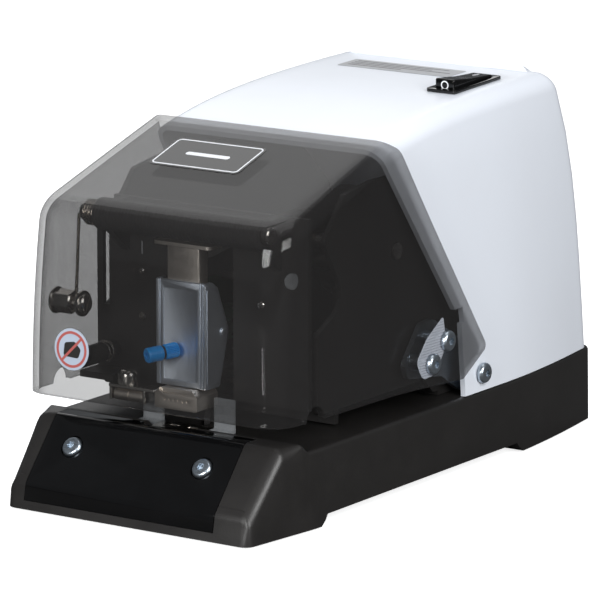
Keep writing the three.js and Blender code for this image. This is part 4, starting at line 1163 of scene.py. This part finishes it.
# %% Sleeve
RIB_PITCH, RIB_DEPTH, SLEEVE_HALF = 1.8, 0.22, 45.4
outline = [(4.3, 0), (6.9, 0), (7.35, 0.45)]
at = 0.9
while at < 2 * SLEEVE_HALF - 1.5:
    outline += [(7.4, at), (7.4, at + RIB_PITCH * 0.55), (7.4 - RIB_DEPTH, at + RIB_PITCH * 0.7),
                (7.4 - RIB_DEPTH, at + RIB_PITCH * 0.9)]
    at += RIB_PITCH
outline += [(7.35, 2 * SLEEVE_HALF - 0.45), (6.9, 2 * SLEEVE_HALF), (4.3, 2 * SLEEVE_HALF), (4.3, 0)]
bm = bmesh.new()
turned(bm, outline, (-SLEEVE_HALF, -105, 132), (1, 0, 0), 48)
make_piece("ribbed_sleeve", bm, sleeve_rubber, "base", ["cross_tube"], sharp=30)
bm = bmesh.new()
turned(bm, [(0, 0), (3.4, 0), (4, 0.6), (4, 103.7), (3.4, 104.3), (0, 104.3)], (-54.9, -105, 132), (1, 0, 0), 40)
make_piece("sleeve_rod", bm, bright_nickel, "base", ["cross_rod"], sharp=30)

# %% [markdown]
# ### Spring post and bumper
#
# The post is a hexagon between a washer and a slotted round head. The bumper is a small clear dome.
# %% Spring post and bumper
post_x = cover_half(-110, 90) - 3.6
bm = bmesh.new()
post_at, inward = Vector((-post_x, -110, 90)), Vector((1, 0, 0))
turned(bm, [(0, 0), (5.9, 0), (6.2, 0.3), (6.2, 1), (5.9, 1.2), (0, 1.2)], post_at, inward)
hexagon = rounded([(5.6 * math.cos(a), 5.6 * math.sin(a)) for a in (math.tau * k / 6 + 0.26 for k in range(6))], 0.3, 2)
slab(bm, hexagon, lambda u, v: post_at + Vector((1.2, u, v)), inward * 8.8)
turned(bm, [(0, 10), (4.9, 10), (4.2, 10.6), (2.4, 10.8), (2.4, 15), (0, 15)], post_at, inward)
turned(bm, [(0, 14.8), (6, 14.8), (6, 15.8), (4.6, 16), (4.4, 17.2), (3.9, 17.8), (3.2, 18.1), (0, 18.2)],
       post_at, inward)
slot_box = bmesh.new()
block(slot_box, (17, -5, -0.6), (19, 5, 0.6))
bmesh.ops.transform(slot_box, matrix=Matrix.Translation(post_at) @ Matrix.Rotation(1.1, 4, "X"), verts=slot_box.verts)
make_piece("spring_hex_post", bm, bright_nickel, "cover", ["spring_post"], sharp=30,
           carve=[cutter(slot_box)])
bm = bmesh.new()
bump_line = [(0, 0), (3.6, 0), (3.6, 1.6), (3.3, 2.4), (2.8, 3), (2.2, 3.5), (1.4, 3.8), (0, 4)]
turned(bm, bump_line, (cover_half(-114, 115) - 3.7, -114, 115), (-1, 0, 0))
make_piece("clear_bumper", bm, water_clear, "cover", ["cover_bumper"], sharp=50)


# %% [markdown]
# ## The stapling head
#
# A pressed zinc cassette stands in a nickel nose. The ram comes down into it from above. A blue knob
# at the front pulls the cassette out. Each pressed part starts as a slab and has its folds, windows
# and recesses carved.

# %% Cassette
HEAD_FRONT, HEAD_HALF = -106.3, 13.6
side_line = [(HEAD_FRONT, 57), (-95.2, 57), (-87.8, 82), (-96.6, 103), (-101, 106), (HEAD_FRONT, 106)]
bm = bmesh.new()
slab(bm, rounded(side_line, [0.8, 1.2, 1.5, 1.2, 1.2, 0.8], 3), lambda y, z: Vector((-HEAD_HALF, y, z)),
     Vector((2 * HEAD_HALF, 0, 0)))
inner = bmesh.new()
block(inner, (-12, -104.7, 50), (12, -80, 120))
pressed = bmesh.new()
slab(pressed, rounded([(-9.6, 60), (8.8, 60), (8.8, 102.6), (-9.6, 102.6)], 1.2), lambda x, z: Vector((x, -107, z)),
     Vector((0, 1.1, 0)))
grooves = [cut_box((x, -107, 56), (x + w, -105.8, 107)) for x, w in ((-11.8, 0.7), (10.4, 0.9), (12, 0.5))]
make_piece("cassette_body", bm, cassette_zinc, "head", ["staple_cassette"], sharp=30, bevel=0.35,
           carve=[cutter(inner), cutter(pressed), *grooves])
bm = bmesh.new()
plate = rounded([(-105.2, 59), (-96, 59), (-89.2, 81.8), (-97.4, 101), (-105.2, 103.6)], [1, 2, 2, 2, 1], 3)
for s in (-1, 1):
    slab(bm, plate, lambda y, z: Vector((s * (HEAD_HALF - 0.05), y, z)), Vector((s * 0.45, 0, 0)))
    turned(bm, [(0, 0), (1.9, 0), (1.9, 0.5), (1.5, 0.9), (0.7, 1.05), (0, 1.1)], (s * (HEAD_HALF + 0.3), -93.5, 82),
           (s, 0, 0), 24)
make_piece("cassette_cheeks", bm, cassette_zinc, "head", sharp=30, bevel=0.12)

# %% [markdown]
# ### Nose and ram
#
# The nose has a slit for the staple and a shallow arch pressed in its front. The ram has a flange on
# top and a thin blade below.
# %% Nose and ram
nose_line = rounded([(-11.7, 47.2), (11.7, 47.2), (11.7, 53.8), (9.4, 56.7), (-9.4, 56.7), (-11.7, 53.8)],
                    [1, 1, 1.5, 2.5, 2.5, 1.5], 4)
bm = bmesh.new()
slab(bm, nose_line, lambda x, z: Vector((x, -110.6, z)), Vector((0, 16.6, 0)))
slit = cut_box((-6.8, -104.8, 40), (6.8, -103, 60))
arch = bmesh.new()
slab(arch, rounded([(-8.6, 54.4), (8.6, 54.4), (10, 60), (-10, 60)], [2, 2, 0, 0], 4), lambda x, z: Vector((x, -111, z)),
     Vector((0, 1.5, 0)))
notches = [cut_box((x - 0.35, -111, 51), (x + 0.35, -110.2, 52.2)) for x in (-6, -3.6, -1.2, 1.2, 3.6, 6)]
make_piece("head_nose_block", bm, warm_nickel, "head", ["head_nose"], sharp=30, bevel=0.5, bevel_steps=3,
           carve=[slit, cutter(arch), *notches])
bm = bmesh.new()
ram_line = rounded([(-9, -104.4), (9, -104.4), (9, -97.6), (-9, -97.6)], [0.9, 0.9, 0.4, 0.4], 3)
slab(bm, ram_line, lambda x, y: Vector((x, y, 92)), Vector((0, 0, 30)))
flange = rounded([(-16, -106), (16, -106), (16, -95.5), (-16, -95.5)], [2.5, 2.5, 1.5, 1.5], 4)
slab(bm, flange, lambda x, y: Vector((x, y, 121.5)), Vector((0, 0, 1.9)))
slab(bm, [(-5.6, -104.4), (5.6, -104.4), (5.6, -103.5), (-5.6, -103.5)], lambda x, y: Vector((x, y, 71.5)),
     Vector((0, 0, 21.5)))
bmesh.ops.recalc_face_normals(bm, faces=bm.faces)
make_piece("ram_body", bm, warm_nickel, "ram", ["ram"], sharp=30, bevel=0.3)


# %% [markdown]
# ### Pull knob
#
# The rear half is fluted for the fingers, the front half is smooth with a hole in its end, and a dark
# ring sits between them.
# %% Pull knob
def fluted(bm, profile, origin, direction, flutes, depth, low, high):
    """Like turned(), with flutes between two heights."""
    place = aim_matrix(origin, direction)
    rows = []
    for r, h in profile:
        cut = depth if low <= h <= high else 0
        ring = [(r - cut * (k % 2), math.tau * k / (2 * flutes)) for k in range(2 * flutes)]
        rows.append([place @ Vector((q * math.cos(a), q * math.sin(a), h)) for q, a in ring])
    first, last = draw_rows(bm, rows, closed=True)
    bm.faces.new(first)
    bm.faces.new(last)
    bmesh.ops.recalc_face_normals(bm, faces=bm.faces)


KNOB_AT, KNOB_WAY = (-1.2, -107.8, 74.6), (-7, -14.2, -1.3)
bm = bmesh.new()
fluted(bm, [(3.1, 0), (3.5, 0.5), (3.5, 6.2), (3.1, 6.7), (2.6, 6.9), (2.6, 7.7), (3.1, 7.8), (3.5, 8.2), (3.5, 14.8),
            (3.1, 15.4), (1.4, 15.4), (1.3, 15.1), (1.3, 12)], KNOB_AT, KNOB_WAY, 26, 0.35, 0.4, 6.3)
make_piece("blue_knob", bm, knob_blue, "knob", ["cassette_knob"], sharp=25)
bm = bmesh.new()
turned(bm, [(2.5, 6.85), (3.15, 6.85), (3.15, 7.75), (2.5, 7.75), (2.5, 6.85)], KNOB_AT, KNOB_WAY)
make_piece("knob_dark_ring", bm, wall_black, "knob", sharp=30)

# %% [markdown]
# ### Clamp, roller, guards and anvil
#
# These hold the paper under the head. The anvil has two shallow dents that turn the legs of the
# staple.
# %% Clamp, roller, guards and anvil
bm = bmesh.new()
turned(bm, [(0, 0), (4.6, 0), (4.6, 4.5), (4.3, 5.4), (3.6, 6.3), (2.4, 6.9), (1.2, 7.15), (0, 7.2)], (-30, -106, 54.6),
       (0, 0, 1))
block(bm, (-38, -110, 53.2), (-12.1, -101.4, 54.7))
block(bm, (-38.4, -109, 47), (-37, -102, 54.7))
block(bm, (-19.6, -109, 47), (-18.2, -102, 54.7))
make_piece("paper_clamp", bm, bright_nickel, "head", ["clamp_post"], sharp=30, bevel=0.25)
bm = bmesh.new()
turned(bm, [(0, 0), (2.6, 0), (3, 0.4), (3, 8), (2.7, 8.2), (2.7, 8.6), (3, 8.8), (3, 16), (2.6, 16.4), (0, 16.4)],
       (-36.6, -105.5, 49.5), (1, 0, 0))
make_piece("split_roller", bm, warm_nickel, "roller", ["clamp_roller"], sharp=30)
guard_line = rounded([(-107, 37.3), (-99, 37.3), (-99, 53), (-101, 53), (-101, 38.8), (-107, 38.8)],
                     [0.3, 0.3, 0.8, 0.8, 0.6, 0.3], 3)
for side, x in (("left", -25), ("right", 14.4)):
    bm = bmesh.new()
    slab(bm, guard_line, lambda y, z: Vector((x, y, z)), Vector((10.6, 0, 0)))
    slot_cut = cut_box((x + 4.9, -103, 42), (x + 5.7, -97, 60))
    make_piece(f"clear_guard_{side}", bm, water_clear, "base", [f"paper_guard_{side}"], sharp=30,
               bevel=0.25, carve=[slot_cut])
bm = bmesh.new()
slab(bm, rounded([(-14, -119.5), (14, -119.5), (14, -98), (-14, -98)], 1.2, 4), lambda x, y: Vector((x, y, 34.3)),
     Vector((0, 0, 3.9)))
dents = []
for x in (-5, 5):
    dent = bmesh.new()
    turned(dent, [(0, -2.4), (1, -2.4), (1.3, 0), (1, 2.4), (0, 2.4)], (x, -103.9, 38.5), (1, 0, 0), 24)
    dents.append(cutter(dent))
make_piece("anvil_plate", bm, bright_nickel, "base", ["anvil"], sharp=30, bevel=0.4, bevel_steps=3,
           carve=dents)

# %% [markdown]
# ### Depth adjuster
#
# A long screw with a fluted black knob and two plated rings.
# %% Depth adjuster
DEPTH_AT = (-49, -117, 66)
bm = bmesh.new()
fluted(bm, [(3.9, 0), (4.6, 0.8), (4.6, 16.6), (4.2, 17.2), (3.4, 17.6), (3.4, 19), (3, 19.2), (3, 105)], DEPTH_AT,
       (0, 1, 0), 22, 0.3, 1.5, 16)
make_piece("depth_knob", bm, wall_black, "depth_adjuster", ["depth_screw"], sharp=25)
bm = bmesh.new()
for low, high, r in ((17.5, 18.3, 4.4), (19.1, 20.7, 5.2)):
    turned(bm, [(2.9, low), (r - 0.3, low), (r, low + 0.3), (r, high - 0.3), (r - 0.3, high), (2.9, high), (2.9, low)],
           DEPTH_AT, (0, 1, 0))
make_piece("depth_rings", bm, bright_nickel, "depth_adjuster", sharp=30)


# %% [markdown]
# ### Small screws on the front wall
#
# Three pan-head screws hold the front wall, each with a slot.
# %% Small screws on the front wall
def pan_screw(bm, x, z, r=1.9):
    turned(bm, [(0, -1), (r, -1), (r, 0.5), (r * 0.8, 1), (r * 0.4, 1.2), (0, 1.25)], (x, -89.9, z), (0, -1, 0), 28)


bm = bmesh.new()
pan_screw(bm, -33, 83)
pan_screw(bm, -33, 104, 1.6)
pan_screw(bm, 33, 96)
cross_cuts = [cut_box((x - 1.3, -92, z - 0.2), (x + 1.3, -90.7, z + 0.2)) for x, z in ((-33, 83), (-33, 104), (33, 96))]
make_piece("front_wall_screws", bm, bright_nickel, "base", sharp=35, carve=cross_cuts)
# The thin light grey sliver above the upper left screw is a painted highlight, the glint of a slot edge, not a part of
# the wall.
bm = bmesh.new()
block(bm, (-33.3, -90.25, 112), (-32.7, -90.05, 118))
bmesh.ops.bevel(bm, geom=bm.edges[:], offset=0.06, segments=1, profile=0.5, affect="EDGES", material=-1)
make_piece("front_wall_painted_highlight", bm, plate_grey, "base", sharp=30)
print("head and front wall done")


# %% [markdown]
# ## Finishes for the rest of the frame
#
# Everything that was not modelled again still shows through the smoked cover, the openings or the
# underside, so each solid takes one of the finishes above.

# %% Paint the remaining solids
paint = {
    "satin_black": satin_black, "gloss_black": gloss_black, "white_housing": white_paint, "smoked_plastic": smoked_clear,
    "clear_plastic": water_clear, "zinc": zinc_plate, "nickel": bright_nickel, "dark_steel": dark_oxide,
    "black_paint": wall_black, "rubber": sleeve_rubber, "blue_plastic": knob_blue, "green_board": board_green,
}
own = {"motor": dark_oxide, "drive_gear": warm_nickel, "return_spring": spring_wire, "side_frame_left": wall_black,
       "side_frame_right": wall_black, "staple_strip": zinc_plate}
for part in frame["record"]["subparts"]:
    solid = nodes[part["node"]]
    finish = own.get(part["node"], paint[part["material_slot"]])
    solid.data.materials.clear()
    solid.data.materials.append(finish)


# %% [markdown]
# ## The floor
#
# A wide pale floor stands in for the studio sweep. The camera sees it white and glowing a little, so
# that only the soft contact shadow shows on it. Every other ray finds a dark floor, which keeps the
# upright gloss walls deep.

# %% Floor and finish
floor_paint = skin_finish("floor_paint", (0.86, 0.87, 0.88), (0.84, 0.85, 0.86), 0.5, 0.6, patches=3, amount=0.2,
                          grain=300, depth=0.00001)
floor_tree = floor_paint.node_tree
floor_shader = floor_tree.nodes["Principled BSDF"]
floor_shader.inputs["Emission Color"].default_value = (1, 1, 1, 1)
floor_shader.inputs["Emission Strength"].default_value = 0.8
dark_floor = floor_tree.nodes.new("ShaderNodeBsdfDiffuse")
dark_floor.inputs["Color"].default_value = (0.10, 0.10, 0.10, 1)
path, either = add_node(floor_tree, "LightPath"), add_node(floor_tree, "MixShader")
floor_tree.links.new(path.outputs["Is Camera Ray"], either.inputs[0])
floor_tree.links.new(dark_floor.outputs[0], either.inputs[1])
floor_tree.links.new(floor_shader.outputs[0], either.inputs[2])
floor_tree.links.new(either.outputs[0], floor_tree.nodes["Material Output"].inputs["Surface"])
bm = bmesh.new()
bmesh.ops.create_grid(bm, x_segments=1, y_segments=1, size=6)
mesh = bpy.data.meshes.new("floor")
bm.to_mesh(mesh)
bm.free()
floor = bpy.data.objects.new("floor", mesh)
bpy.context.scene.collection.objects.link(floor)
floor.data.materials.append(floor_paint)
